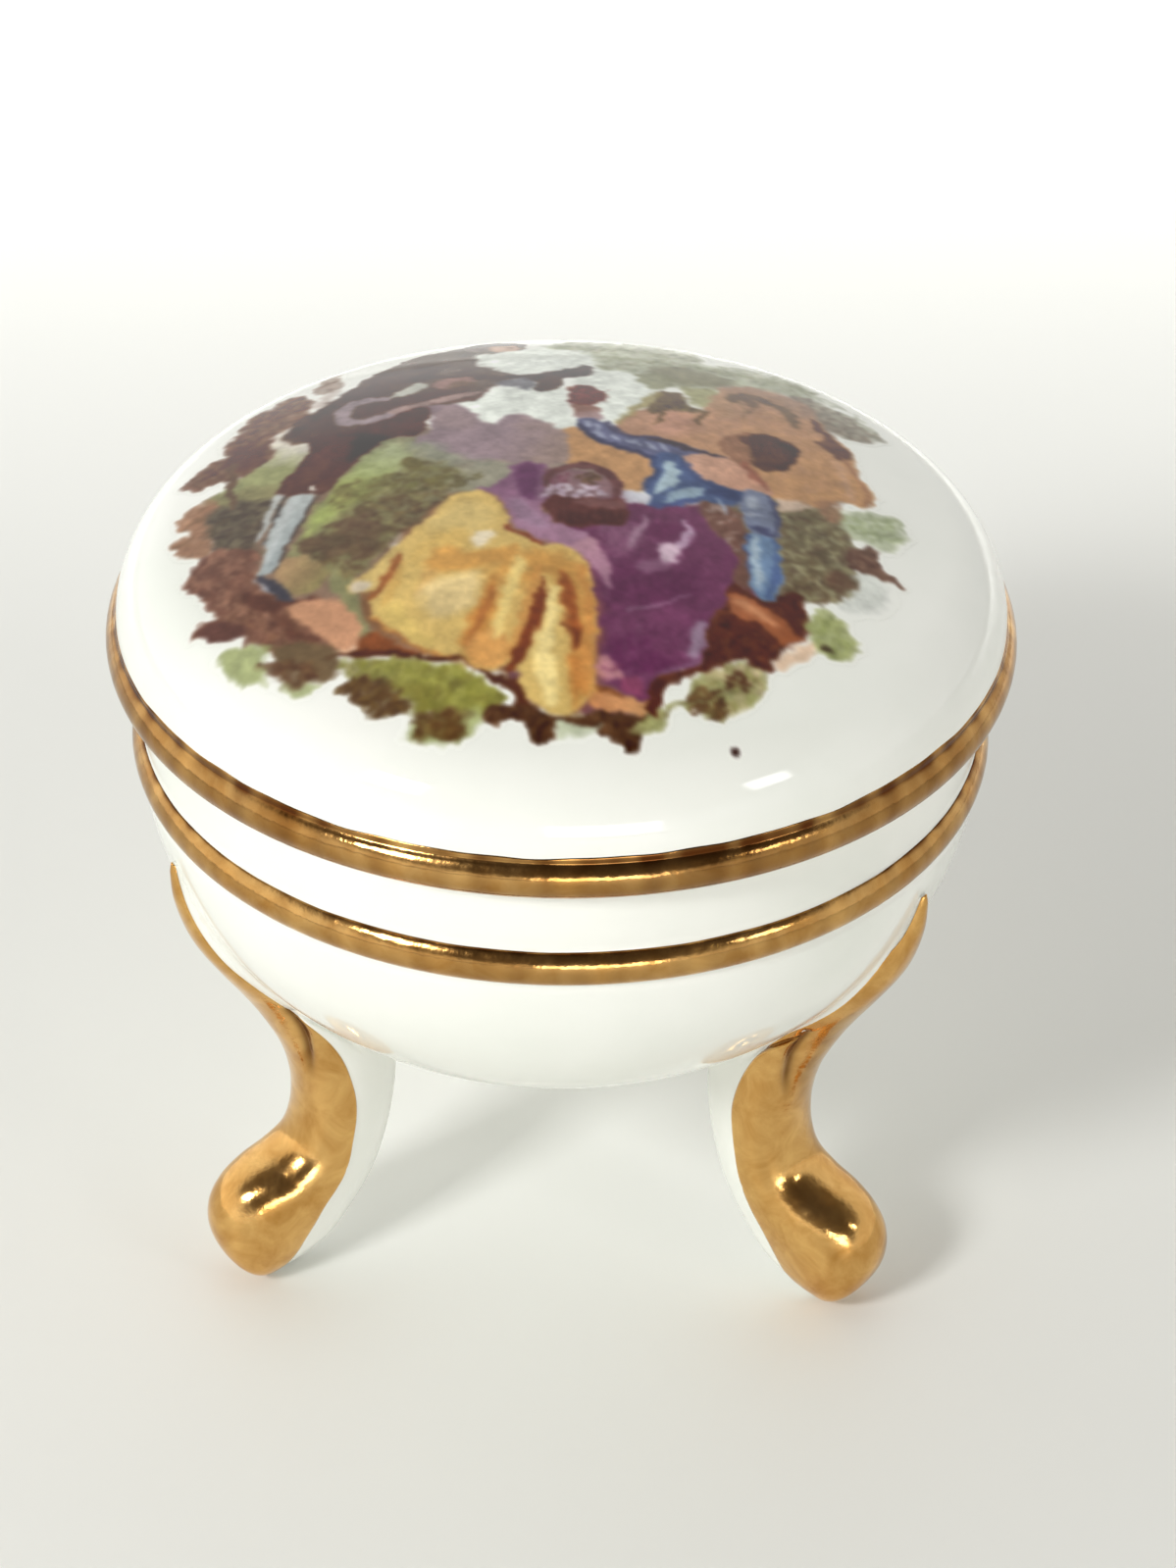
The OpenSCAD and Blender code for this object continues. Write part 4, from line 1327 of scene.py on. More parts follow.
def paint_yellow_skirt(c):
    """The lady's yellow skirt."""
    skirt = [
        (-5.8, -2.1), (-4.6, -1.9), (-3.8, -2.4), (-3.1, -3.6), (-2.9, -4.8), (-3, -5.6), (-2.4, -6.2),
        (-1.2, -6.8), (0, -7), (0.9, -7.8), (1.5, -9.2), (1.7, -11), (1.8, -13), (1.7, -15), (1.7, -17),
        (1.3, -18.3), (0.4, -19.1), (-0.4, -19.1), (-1.2, -18.6), (-1.9, -17.6), (-2.2, -16.4),
        (-2.8, -15.9), (-3.5, -16.3), (-4.4, -15.9), (-5.2, -15.1), (-6.2, -15), (-7.2, -14.4), (-8, -13.6),
        (-9, -12.8), (-9.7, -11.9), (-9.9, -10.8), (-9.7, -10), (-10.3, -9.9), (-11, -9.9), (-11.2, -9.2),
        (-10.6, -8.6), (-9.6, -7.6), (-8.8, -6.4), (-8, -5.2), (-7, -3.9), (-6.4, -2.7),
    ]
    c.area((204, 174, 104), skirt, 0.12, 0.08, mottle=0.04)
    c.area((190, 132, 62), [
        (-3.4, -8), (-1, -7.4), (0.8, -8.4), (1.6, -11), (1.6, -17), (0.6, -18.6), (0.4, -12), (-0.6, -9.6),
        (-2.2, -11), (-3.6, -15.4), (-5, -15), (-4, -11),
    ], 0.7, 0.3, 0.7)
    c.area((204, 178, 112), [
        (-10.8, -9.8), (-10.8, -8.9), (-9.6, -7.8), (-8.6, -6.4), (-8.4, -7.4), (-8.8, -8.8), (-9.6, -10),
    ], 0.3, 0.1, 0.8)
    c.area((204, 192, 176), [
        (-11, -9.8), (-11, -9.1), (-10.4, -8.8), (-9.9, -9.4), (-10.3, -9.9),
    ], 0.15, 0.08, 0.8)
    c.area((216, 190, 122), [
        (-6.2, -3.4), (-5, -2.8), (-4, -3.6), (-3.8, -5), (-5, -5.6), (-6.6, -5.4), (-7.2, -4.6),
    ], 0.6, 0.15, 0.8)
    c.area((204, 168, 92), [
        (-6, -5.2), (-5.2, -5.6), (-5, -7), (-5.8, -7.4), (-6.8, -7), (-7.6, -8.2), (-7.8, -6.8),
    ], 0.4, 0.2, 0.55)
    c.area((200, 148, 76), [
        (-7, -7.2), (-5.9, -6.6), (-5.1, -7.3), (-4, -7.3), (-2.6, -6.9), (-2.1, -7.4), (-2.8, -8.2),
        (-4.4, -8.7), (-6, -9), (-7, -8.6),
    ], 0.3, 0.2, 0.9)
    c.area((208, 164, 96), [(-7.2, -8.6), (-6.2, -8.8), (-6.6, -9.8), (-7.5, -10.4)], 0.3, 0.2, 0.7)
    c.area((228, 214, 184), [(-4.6, -5.7), (-3.8, -5.6), (-3.7, -6.4), (-4.2, -7), (-4.8, -6.6)], 0.2, 0.08)
    c.area((220, 196, 140), [
        (-7.2, -9.8), (-5.8, -9.2), (-4.4, -9.2), (-4.2, -10.6), (-5, -12), (-6.4, -12.4), (-7.2, -11.2),
    ], 0.5, 0.15, 0.9)
    c.area((216, 188, 108), [
        (-9.4, -11), (-8.4, -11), (-7.6, -12.6), (-6.4, -14.2), (-7.4, -14), (-8.8, -12.6),
    ], 0.4, 0.15, 0.8)


def paint_yellow_folds(c):
    """The folds of the yellow skirt, dark and light."""
    c.stroke((148, 88, 46), [
        (-8.5, -7, 0.1), (-8.8, -8.2, 0.24), (-9.3, -9.4, 0.2), (-9.8, -10.4, 0.14),
    ], 0.12, 0.06)
    c.stroke((196, 156, 84), [(-8.3, -7.8, 0.1), (-8.7, -9.4, 0.3), (-9.2, -10.8, 0.2)], 0.25, 0.06, 0.7)
    c.stroke((188, 128, 62), [
        (-3.4, -9.6, 0.12), (-3.7, -11, 0.34), (-4.3, -12.8, 0.5), (-4.9, -14.4, 0.4),
    ], 0.3, 0.12, 0.95)
    c.stroke((150, 88, 44), [
        (-3.5, -10.4, 0.1), (-3.9, -11.8, 0.14), (-4.6, -13.6, 0.16), (-5, -14.6, 0.1),
    ], 0.2, 0.08, 0.75)
    c.area((206, 150, 84), [
        (-5, -14.4), (-4.2, -13.6), (-3.2, -13.4), (-2.6, -14.6), (-2.7, -15.6), (-3.5, -16.1),
        (-4.4, -15.7),
    ], 0.3, 0.15, 0.9)
    c.stroke((226, 202, 128), [
        (-2.2, -8.2, 0.3), (-2.6, -10, 0.45), (-3, -12.2, 0.4), (-3.4, -13.8, 0.2),
    ], 0.3, 0.06, 0.9)
    c.stroke((196, 138, 72), [
        (-1.2, -8.8, 0.1), (-1.4, -10.4, 0.3), (-2, -13, 0.3), (-2.6, -15.2, 0.25),
    ], 0.25, 0.06, 0.8)
    c.stroke((118, 56, 26), [
        (-0.9, -9.7, 0.1), (-1.1, -11.2, 0.3), (-1.5, -13, 0.36), (-2, -14.8, 0.34), (-2.5, -16.2, 0.2),
    ], 0.14, 0.08)
    c.stroke((146, 78, 36), [
        (0, -9.2, 0.14), (0.3, -10.4, 0.34), (0.5, -12, 0.42), (0.7, -13.6, 0.34), (0.6, -14.8, 0.14),
    ], 0.22, 0.12)
    c.stroke((104, 48, 22), [(0.2, -13.2, 0.2), (0.7, -13.9, 0.34), (0.8, -14.6, 0.14)], 0.18, 0.12, 0.85)
    c.stroke((230, 208, 140), [
        (-0.5, -10.4, 0.2), (-0.6, -12.4, 0.36), (-0.9, -14.6, 0.42), (-0.7, -16.6, 0.5),
        (-0.5, -18.2, 0.4),
    ], 0.25, 0.06)
    c.stroke((198, 136, 70), [
        (0.9, -8.6, 0.2), (1.4, -11, 0.24), (1.4, -13.4, 0.26), (1.3, -16, 0.4), (1.2, -17.6, 0.3),
    ], 0.25, 0.1, 0.9)
    c.stroke((176, 112, 52), [(0.6, -15.4, 0.3), (0.8, -17, 0.3), (0.6, -18.4, 0.16)], 0.3, 0.1, 0.8)
    c.stroke((128, 62, 34), [
        (-3, -5.1, 0.08), (-2.5, -5.9, 0.14), (-1.7, -6.4, 0.16), (-0.9, -6.9, 0.06),
    ], 0.1, 0.06)
    c.stroke((176, 118, 60), [
        (-9.7, -12, 0.08), (-8.6, -13.2, 0.1), (-7.2, -14.5, 0.12), (-5.6, -15.2, 0.1),
    ], 0.1, 0.06, 0.8)


def paint_purple_skirt(c):
    """The purple overskirt."""
    skirt = [
        (3, -4.6), (3.5, -3), (5, -3.3), (6.6, -2.9), (7.4, -3.6), (7.8, -4.8), (8.4, -5.6), (9, -6.4),
        (9.1, -7.8), (8.7, -9.4), (8.3, -10.8), (7.5, -12.6), (7.3, -14.6), (6.8, -15.4), (5.6, -16.2),
        (4.6, -16.8), (4.4, -17.9), (3.6, -17.9), (2.6, -17.1), (1.8, -16.4), (2.1, -15.6), (1.7, -14.6),
        (1.8, -12), (1.7, -10.4), (1.2, -8.8), (0.4, -7.6), (-0.6, -6.8), (-1.2, -5.8), (0, -5),
    ]
    c.area((104, 52, 84), skirt, 0.1, 0.08, mottle=0.1)
    c.area((136, 88, 116), [
        (2, -5), (3.2, -4.6), (4, -5.2), (4.2, -6.6), (3.4, -7.6), (2.6, -8.2), (2.2, -6.8),
    ], 0.35, 0.2, 0.85)
    c.area((84, 34, 68), [
        (2.6, -8.4), (4, -7.8), (5.4, -8.6), (7, -8), (7.6, -9.6), (6.4, -11), (4, -11.4), (2.6, -10.6),
    ], 0.6, 0.4, 0.45)
    c.area((92, 34, 74), [
        (2.6, -14.2), (4, -13.6), (5, -14.8), (5.8, -15.4), (4.8, -16), (3.8, -16.2), (2.8, -15.6),
    ], 0.4, 0.35, 0.75)
    c.area((120, 62, 98), [
        (2.4, -11.8), (4, -12), (6, -11.4), (6.6, -12.8), (5, -13.4), (3, -13),
    ], 0.5, 0.3, 0.5)
    c.dabs([
        (124, 72, 104), (88, 40, 72), (112, 60, 92), (80, 32, 64),
    ], skirt, 340, 0.4, 81, 1.3, 0.6, 0.25, 0.35)
    c.area((182, 138, 152), [
        (-0.6, -6), (0.6, -5.9), (1.6, -6.4), (2.2, -7.4), (2.4, -9), (2.6, -10.4), (2.3, -10.2),
        (1.7, -9.2), (1, -8), (0.2, -7.2),
    ], 0.16, 0.1, fade=((0.5, -6.5), (2.4, -10), (156, 112, 134)))
    c.stroke((166, 132, 152), [
        (3.4, -7, 0.1), (3.8, -6, 0.26), (4.2, -5, 0.2), (4.3, -4.2, 0.1),
    ], 0.2, 0.12, 0.85)
    c.stroke((190, 164, 186), [
        (6.4, -4.2, 0.12), (6.7, -5.2, 0.26), (6.4, -6.2, 0.24), (5.8, -6.8, 0.26),
    ], 0.16, 0.12, 0.85)
    c.area((218, 190, 206), [
        (5.2, -6.5), (6, -6.7), (6.1, -7.6), (5.5, -8.2), (5, -7.9), (5, -7.2),
    ], 0.2, 0.15)
    c.area((150, 108, 134), [(3.8, -8.2), (5, -7.8), (5.6, -8.2), (5, -8.8), (4, -8.8)], 0.3, 0.2, 0.7)
    c.area((96, 40, 76), [(4.5, -4.9), (5.4, -4.6), (6.1, -5), (5.6, -6), (4.8, -6)], 0.25, 0.15, 0.8)
    c.stroke((142, 100, 128), [(3.4, -11.9, 0.08), (5, -11.4, 0.1), (6.5, -10.4, 0.05)], 0.12, 0.05, 0.8)
    c.area((152, 130, 150), [
        (6.9, -12.8), (7.35, -12.4), (7.35, -14), (6.9, -15), (6.4, -14.8), (6.7, -13.8),
    ], 0.16, 0.1, 0.9)
    c.stroke((132, 96, 124), [(6.8, -15.2, 0.1), (5.8, -15.9, 0.1), (4.8, -16.5, 0.08)], 0.14, 0.06, 0.7)
    c.area((186, 130, 136), [
        (1.9, -15.3), (2.4, -15.2), (3, -16), (3.2, -16.8), (2.4, -16.7), (1.7, -16.3),
    ], 0.14, 0.15, 0.9)
    c.stroke((112, 50, 78), [(2.1, -16, 0.08), (2.7, -16.1, 0.12), (3, -15.7, 0.05)], 0.1, 0.08, 0.8)
    c.area((140, 66, 96), [
        (3, -16.8), (3.8, -16.6), (4.3, -17.6), (3.7, -17.8), (3, -17.4),
    ], 0.15, 0.1, 0.8)


def paint_sash(c):
    """The purple sash that falls to the left of the basket."""
    sash = [
        (-3, 0.4), (-2.1, 1), (-1.2, 0.7), (-0.9, -0.4), (-1.2, -1.4), (-0.8, -2.4), (-1, -3.4),
        (-0.6, -4.6), (0.4, -5.6), (1.4, -6.1), (0.4, -6.9), (-0.8, -6.8), (-1.8, -6), (-2.8, -4.8),
        (-3.1, -3.4), (-3.8, -2.2), (-4.7, -1.7), (-3.8, -1.3), (-3, -0.7),
    ]
    c.area((124, 84, 112), sash, 0.16, 0.15, fade=((-2, -1), (-2.4, -4.6), (150, 112, 134)))
    c.area((98, 52, 88), [
        (-2.6, 0.4), (-1.7, 0.8), (-1.3, 0), (-1.5, -1.6), (-1.6, -2.8), (-2.3, -2.6), (-2.5, -1.2),
    ], 0.2, 0.15, 0.9)
    c.area((152, 122, 144), [
        (-3, -2.8), (-2.2, -3), (-1.4, -4.2), (-0.8, -5.2), (-1.4, -5.6), (-2.4, -4.6),
    ], 0.3, 0.15, 0.8)


def paint_basket(c):
    """The basket of flowers on the lady's lap."""
    c.area((128, 98, 102), [
        (-1.1, -1.9), (-0.7, -0.8), (0.2, 0), (1.2, 0.2), (2.2, -0.4), (2.6, -1.4), (2.5, -2.5), (1, -2.7),
        (-0.8, -2.6),
    ], 0.15, 0.1)
    c.dabs([(206, 192, 202), (178, 158, 172)], [
        (-1.1, -1.9), (0, -1.3), (1.2, -1.6), (2, -1.8), (2, -2.5), (0, -2.6), (-1, -2.6),
    ], 34, 0.26, 91, 0.2, 0.8, 0.85)
    c.dabs([(84, 60, 44), (104, 78, 54)], [
        (0.8, -0.2), (1.6, 0), (2, -0.8), (1.6, -1.4), (1, -1),
    ], 14, 0.24, 92)
    c.dabs([(140, 90, 104), (120, 70, 84)], [(-0.8, -0.9), (0, -0.2), (0.5, -0.6), (0, -1.3)], 14, 0.2, 93)
    c.stroke((98, 60, 60), [
        (-1, -1.6, 0.2), (-0.7, -0.4, 0.28), (0.1, 0.4, 0.28), (1.2, 0.6, 0.28), (2.2, 0.1, 0.28),
        (2.8, -0.9, 0.26), (2.9, -2.4, 0.24),
    ], 0.1, 0.05)
    c.stroke((134, 92, 88), [(-0.4, 0.1, 0.06), (0.6, 0.65, 0.08), (1.8, 0.4, 0.06)], 0.08, 0.03, 0.8)
    c.area((90, 44, 40), [
        (-1, -3), (-0.3, -2.5), (1.6, -2.7), (3.1, -2.6), (3.5, -3.4), (3.3, -4.9), (2.2, -5.1),
        (0.7, -5.4), (-0.2, -5), (-0.8, -4),
    ], 0.1, 0.06)
    c.area((128, 86, 84), [(0.8, -2.8), (3.2, -2.8), (3.3, -3.5), (1.8, -3.6), (0.8, -3.3)], 0.2, 0.1, 0.8)
    c.area((66, 30, 28), [
        (-0.4, -4.2), (1, -3.9), (3.1, -3.9), (3.1, -4.8), (1.6, -5.1), (0.4, -5.2),
    ], 0.25, 0.1, 0.8)
    for k in range(7):
        x = -0.4 + 0.55 * k
        c.stroke((112, 66, 58), [
            (x, -2.9, 0.04), (x - 0.12, -3.9, 0.05), (x + 0.05, -4.8, 0.03),
        ], 0.07, 0.02, 0.45)


def paint_waist_shade(c):
    """The shade beside the lady's waist."""
    c.area((108, 74, 62), [
        (7.4, -2.3), (8.6, -2.3), (9.4, -3.2), (9.8, -5), (9.7, -7), (9.9, -9), (9.2, -9.2), (8.9, -7.8),
        (8.8, -6.2), (8.2, -5.4), (7.7, -4.4), (7.3, -3.2),
    ], 0.15, 0.2, mottle=0.15)
    c.dabs([(84, 54, 44), (140, 108, 94), (168, 148, 138)], [
        (7.6, -2.6), (9, -2.8), (9.6, -5), (9.6, -7.4), (8.9, -6.4), (8, -4.8),
    ], 44, 0.26, 101, 1.2, 0.6, 0.6)


def paint_lady_head(c):
    """The lady's head, seen from behind and turned a little away, and the bare back."""
    c.area((199, 157, 134), [
        (6.4, 2.3), (7.4, 2.8), (8.6, 2.9), (9.6, 2.4), (10.1, 1.5), (10.9, 0.5), (11.3, -0.5), (10, -0.8),
        (8.8, -0.8), (7.6, -0.3), (6.8, 0.6), (6.4, 1.6),
    ], 0.1, 0.05, fade=((7, 1.5), (10.5, 0), (186, 142, 118)))
    c.area((148, 108, 84), [
        (8.7, 5), (9.4, 5.8), (10.4, 6.2), (10.6, 5), (10.4, 3.6), (10.2, 2.2), (9.6, 2.2), (9, 2.9),
        (8.6, 3.9),
    ], 0.12, 0.08)
    c.area((86, 60, 48), [
        (10, 5.6), (10.6, 6.3), (11.4, 6.4), (12.3, 5.9), (12.9, 5), (12.8, 3.8), (12.4, 2.7), (11.6, 2),
        (10.7, 2), (10.2, 2.8), (10.2, 4),
    ], 0.1, 0.06)
    for k in range(6):
        x = 10.5 + 0.4 * k
        c.stroke((122, 88, 68), [
            (x, 5.6 - 0.1 * k, 0.04), (x + 0.1, 4.2, 0.06), (x - 0.2, 2.8 + 0.12 * k, 0.03),
        ], 0.08, 0.03, 0.5)
    for k in range(4):
        x = 8.9 + 0.4 * k
        c.stroke((172, 132, 104), [
            (x, 5 + 0.15 * k, 0.03), (x + 0.1, 4, 0.06), (x + 0.25, 3, 0.03),
        ], 0.08, 0.03, 0.55)
    c.stroke((70, 46, 40), [
        (11.9, 5.8, 0.2), (12.6, 4.8, 0.26), (12.5, 3.6, 0.24), (11.8, 2.5, 0.16),
    ], 0.2, 0.06, 0.7)
    c.stroke((96, 66, 48), [(9.7, 5.5, 0.14), (10, 5.1, 0.2), (10.1, 4.7, 0.1)], 0.12, 0.05, 0.8)
    c.stroke((146, 90, 72), [
        (9.9, 2.4, 0.24), (10.1, 1.5, 0.24), (10.6, 0.6, 0.2), (10.9, 0, 0.08),
    ], 0.16, 0.06, 0.9)


# The ends of the light strokes across the raised sleeve
SLEEVE_LIGHTS = (
    (1.3, 5.9, 1.5, 5.1),
    (1.9, 5.6, 2, 4.7),
    (1.8, 4.6, 2.4, 3.9),
    (2.6, 4.4, 3, 3.5),
    (3.5, 3.8, 4.2, 3.2),
    (4.4, 3.6, 5, 2.9),
    (5.3, 3.5, 5.8, 2.7),
)


def paint_raised_arm(c):
    """The raised arm, with a posy in its hand."""
    posy = [
        (0.3, 10.8), (1, 11.15), (1.7, 10.9), (2.1, 10.2), (2.3, 9.3), (2, 8.4), (1.4, 7.9), (0.7, 8),
        (0.3, 8.6), (0.2, 9.6),
    ]
    c.area((114, 64, 58), posy, 0.12, 0.2)
    c.dabs([
        (142, 84, 82), (96, 44, 42), (128, 78, 54), (158, 104, 104),
    ], posy, 36, 0.22, 102, 0.5, 1.5, 0.7)
    c.stroke((120, 80, 80), [(2, 10, 0.1), (2.45, 10.5, 0.04)], 0.08)
    c.area((146, 108, 96), [
        (0.5, 8), (1.8, 8), (2.1, 7), (2.1, 6.1), (1.2, 5.9), (0.6, 6.5), (0.4, 7.3),
    ], 0.1, 0.05, fade=((1, 7.4), (1.6, 6.2), (172, 152, 156)))
    c.area((98, 100, 130), [
        (0.7, 6.1), (1.6, 6.3), (2.4, 5.7), (2.9, 4.8), (3.8, 4.3), (5, 4.2), (6.2, 3.8), (7.4, 3.4),
        (7.8, 3.1), (7, 2.6), (6.4, 2.3), (5.8, 1.9), (5, 1.9), (4.2, 2.2), (3, 2.8), (2, 3.4), (1.3, 4.3),
        (0.9, 5.3),
    ], 0.1, 0.08, mottle=0.12)
    c.stroke((56, 56, 84), [
        (0.8, 6, 0.1), (1.1, 4.9, 0.2), (1.7, 3.8, 0.24), (2.9, 2.9, 0.26), (4.2, 2.2, 0.2),
        (5.2, 1.7, 0.2),
    ], 0.12, 0.08, 0.9)
    c.stroke((70, 66, 92), [
        (2.3, 5.8, 0.12), (2.9, 4.8, 0.2), (4, 4.2, 0.16), (5.2, 4.1, 0.14),
    ], 0.12, 0.08, 0.85)
    for x0, y0, x1, y1 in SLEEVE_LIGHTS:
        c.stroke((168, 174, 194), [
            (x0, y0, 0.08), ((x0 + x1) / 2 + 0.05, (y0 + y1) / 2, 0.15), (x1, y1, 0.07),
        ], 0.1, 0.08, 0.8)
    c.stroke((74, 64, 72), [
        (4.4, 3.9, 0.08), (5.6, 3.8, 0.24), (6.8, 3.3, 0.26), (7.8, 3, 0.14), (8.8, 2.75, 0.06),
    ], 0.1, 0.06)


def paint_bodice(c):
    """The blue bodice."""
    c.area((74, 90, 128), [
        (5, 2.3), (5.8, 2.6), (6.4, 2.2), (6.8, 0.9), (7.5, 0), (8.6, -0.6), (9.7, -0.8), (9.6, -1.6),
        (9.2, -2.2), (8.2, -2.3), (7.4, -2.3), (6.4, -2.9), (5.6, -3.2), (4.6, -3.3), (4.3, -2.9),
        (4.7, -2.2), (4.3, -1.5), (4.7, -0.4), (4.9, 0.8),
    ], 0.1, 0.06, mottle=0.1)
    c.area((164, 184, 194), [
        (5.7, 1.6), (6.2, 0.8), (6.1, -0.4), (5.7, -1.4), (5, -2.1), (4.9, -1.4), (5.3, 0.2),
    ], 0.14, 0.1)
    c.area((150, 172, 188), [
        (6.4, -1.1), (7.4, -0.8), (7.6, -1.6), (6.8, -2), (6, -2.4), (5.3, -2.7), (5.5, -2.1),
    ], 0.14, 0.12)
    c.stroke((60, 72, 110), [
        (6.5, 2, 0.16), (6.8, 0.8, 0.22), (7.5, -0.1, 0.24), (8.6, -0.7, 0.2), (9.5, -0.9, 0.16),
    ], 0.1, 0.05, 0.9)
    c.stroke((54, 66, 104), [
        (4.95, 2, 0.14), (4.9, 0.4, 0.14), (4.4, -1.2, 0.14), (4.1, -1.5, 0.06),
    ], 0.1, 0.05, 0.9)
    c.stroke((56, 66, 104), [(7.8, -1.1, 0.3), (8.8, -1.3, 0.4), (9.4, -1.6, 0.24)], 0.2, 0.12, 0.85)
    c.stroke((70, 80, 124), [
        (4.5, -3, 0.16), (5.4, -3, 0.2), (6.4, -2.5, 0.2), (7.4, -2.1, 0.1),
    ], 0.12, 0.06, 0.9)
    c.stroke((150, 166, 184), [(8.2, -1.8, 0.06), (8.5, -2.6, 0.12), (8.7, -3.2, 0.04)], 0.1, 0.06, 0.8)
    c.area((196, 196, 204), [
        (3.1, -1.9), (4.2, -1.8), (4.6, -2.4), (4.1, -3), (3.3, -2.7),
    ], 0.18, 0.12, 0.9)
    c.area((176, 168, 186), [
        (3.8, -3.2), (4.8, -3.5), (5.4, -4.2), (4.6, -4.4), (3.8, -4),
    ], 0.25, 0.15, 0.7)


def paint_right_arm(c):
    """The other sleeve and its long glove."""
    c.area((112, 120, 142), [
        (9.6, -0.8), (10.2, -0.5), (10.9, -0.6), (11.3, -1.3), (11.5, -2.6), (11.5, -4), (11.3, -4.8),
        (10.4, -4.9), (9.8, -4.4), (9.5, -3.2), (9.4, -2),
    ], 0.1, 0.06, mottle=0.1)
    c.area((166, 174, 186), [
        (9.9, -1.1), (10.5, -1), (10.6, -2), (10.1, -2.4), (9.8, -1.9),
    ], 0.25, 0.12, 0.8)
    c.stroke((172, 178, 190), [(9.7, -3, 0.12), (10.3, -2.9, 0.14), (10.7, -3, 0.08)], 0.14, 0.08, 0.8)
    c.stroke((66, 68, 98), [
        (10.9, -0.7, 0.1), (11.3, -1.8, 0.16), (11.4, -3.4, 0.14), (11.2, -4.6, 0.12),
    ], 0.1, 0.06, 0.9)
    c.stroke((58, 60, 92), [(9.9, -3.9, 0.14), (10.5, -4.2, 0.26), (11, -4.5, 0.2)], 0.14, 0.1, 0.9)
    c.area((108, 134, 166), [
        (9.8, -4.8), (11.2, -4.9), (11.5, -6), (11.5, -8), (11.2, -9.4), (10.8, -10), (10.2, -9.9),
        (9.8, -8.8), (9.7, -7), (9.6, -5.8),
    ], 0.09, 0.05)
    c.stroke((172, 190, 202), [
        (10.2, -5.1, 0.2), (10.1, -6.6, 0.26), (10.2, -8.2, 0.2), (10.3, -9.2, 0.08),
    ], 0.16, 0.06, 0.9)
    c.stroke((72, 92, 138), [
        (11.2, -5, 0.12), (11.3, -6.6, 0.16), (11.1, -8.4, 0.2), (10.7, -9.7, 0.16),
    ], 0.14, 0.06, 0.85)
    c.stroke((62, 76, 122), [(9.75, -4.9, 0.08), (9.65, -6.4, 0.08), (9.75, -8.4, 0.08)], 0.08, 0.03, 0.7)


def paint_right_bank(c):
    """The bushes to the right of the lady, and the pale washes behind them."""
    bank = [
        (11.6, -2.2), (12.6, -2), (12.8, -1.1), (13.6, -1.4), (14.5, -0.6), (14.9, -1.6), (14.7, -2.6),
        (15.4, -3.6), (15.5, -4.8), (15.2, -6), (15.5, -7.6), (15, -8.4), (14.2, -9.4), (13.4, -9.8),
        (12.8, -9.4), (11.9, -9.2), (11.6, -7), (11.5, -4.6),
    ]
    c.area((172, 180, 148), [
        (14.5, -2), (15.4, -0.9), (16.8, -0.4), (18, 0), (18.4, -1), (18.4, -2.4), (17.6, -3.5),
        (16.6, -3.8), (15.2, -3.4),
    ], 0.35, 0.45, 0.85)
    c.area((204, 208, 200), [
        (15.2, -6.6), (17, -6.6), (17.1, -8.6), (15.8, -9.6), (14.4, -9.6),
    ], 0.5, 0.3, 0.9)
    c.area((116, 106, 78), bank, 0.2, 0.4, fade=((13, -3), (13, -9), (112, 92, 66)), mottle=0.2)
    c.dabs([
        (92, 78, 54), (136, 130, 96), (104, 92, 64), (150, 146, 112), (84, 64, 48),
    ], bank, 330, 0.3, 111, 0.9, 1.4, 0.6)
    c.dabs([(158, 168, 130), (140, 150, 112)], [
        (14.8, -1.8), (16.4, -1), (18.2, -0.6), (18.2, -2.6), (16.6, -3.4),
    ], 70, 0.26, 112, 1, 1, 0.6)
    c.area((206, 182, 162), [
        (11.5, -1), (12.9, -0.9), (13.3, -1.3), (12.4, -1.8), (11.7, -2.1),
    ], 0.2, 0.2, 0.9)
    c.area((150, 112, 86), [
        (13.8, -0.4), (14.8, -0.4), (14.8, -2.2), (14.1, -2.4), (13.7, -1.4),
    ], 0.25, 0.3, 0.75)
    spike = [
        (15, -4.8), (15.6, -4.2), (16.4, -3.9), (16.9, -4.8), (17.1, -5.8), (17.6, -6.3), (17.8, -6.8),
        (17.2, -6.5), (16.5, -6.6), (15.7, -6.2), (15, -5.8),
    ]
    c.area((104, 74, 58), spike, 0.16, 0.35, mottle=0.15)
    c.dabs([(84, 54, 42), (122, 92, 74)], spike, 40, 0.24, 113, 0.8, 1.4, 0.7)
    c.area((100, 70, 52), [
        (14.2, -6.8), (15.2, -6.8), (15.4, -7.8), (14.6, -8.4), (13.9, -8),
    ], 0.2, 0.3, 0.7)


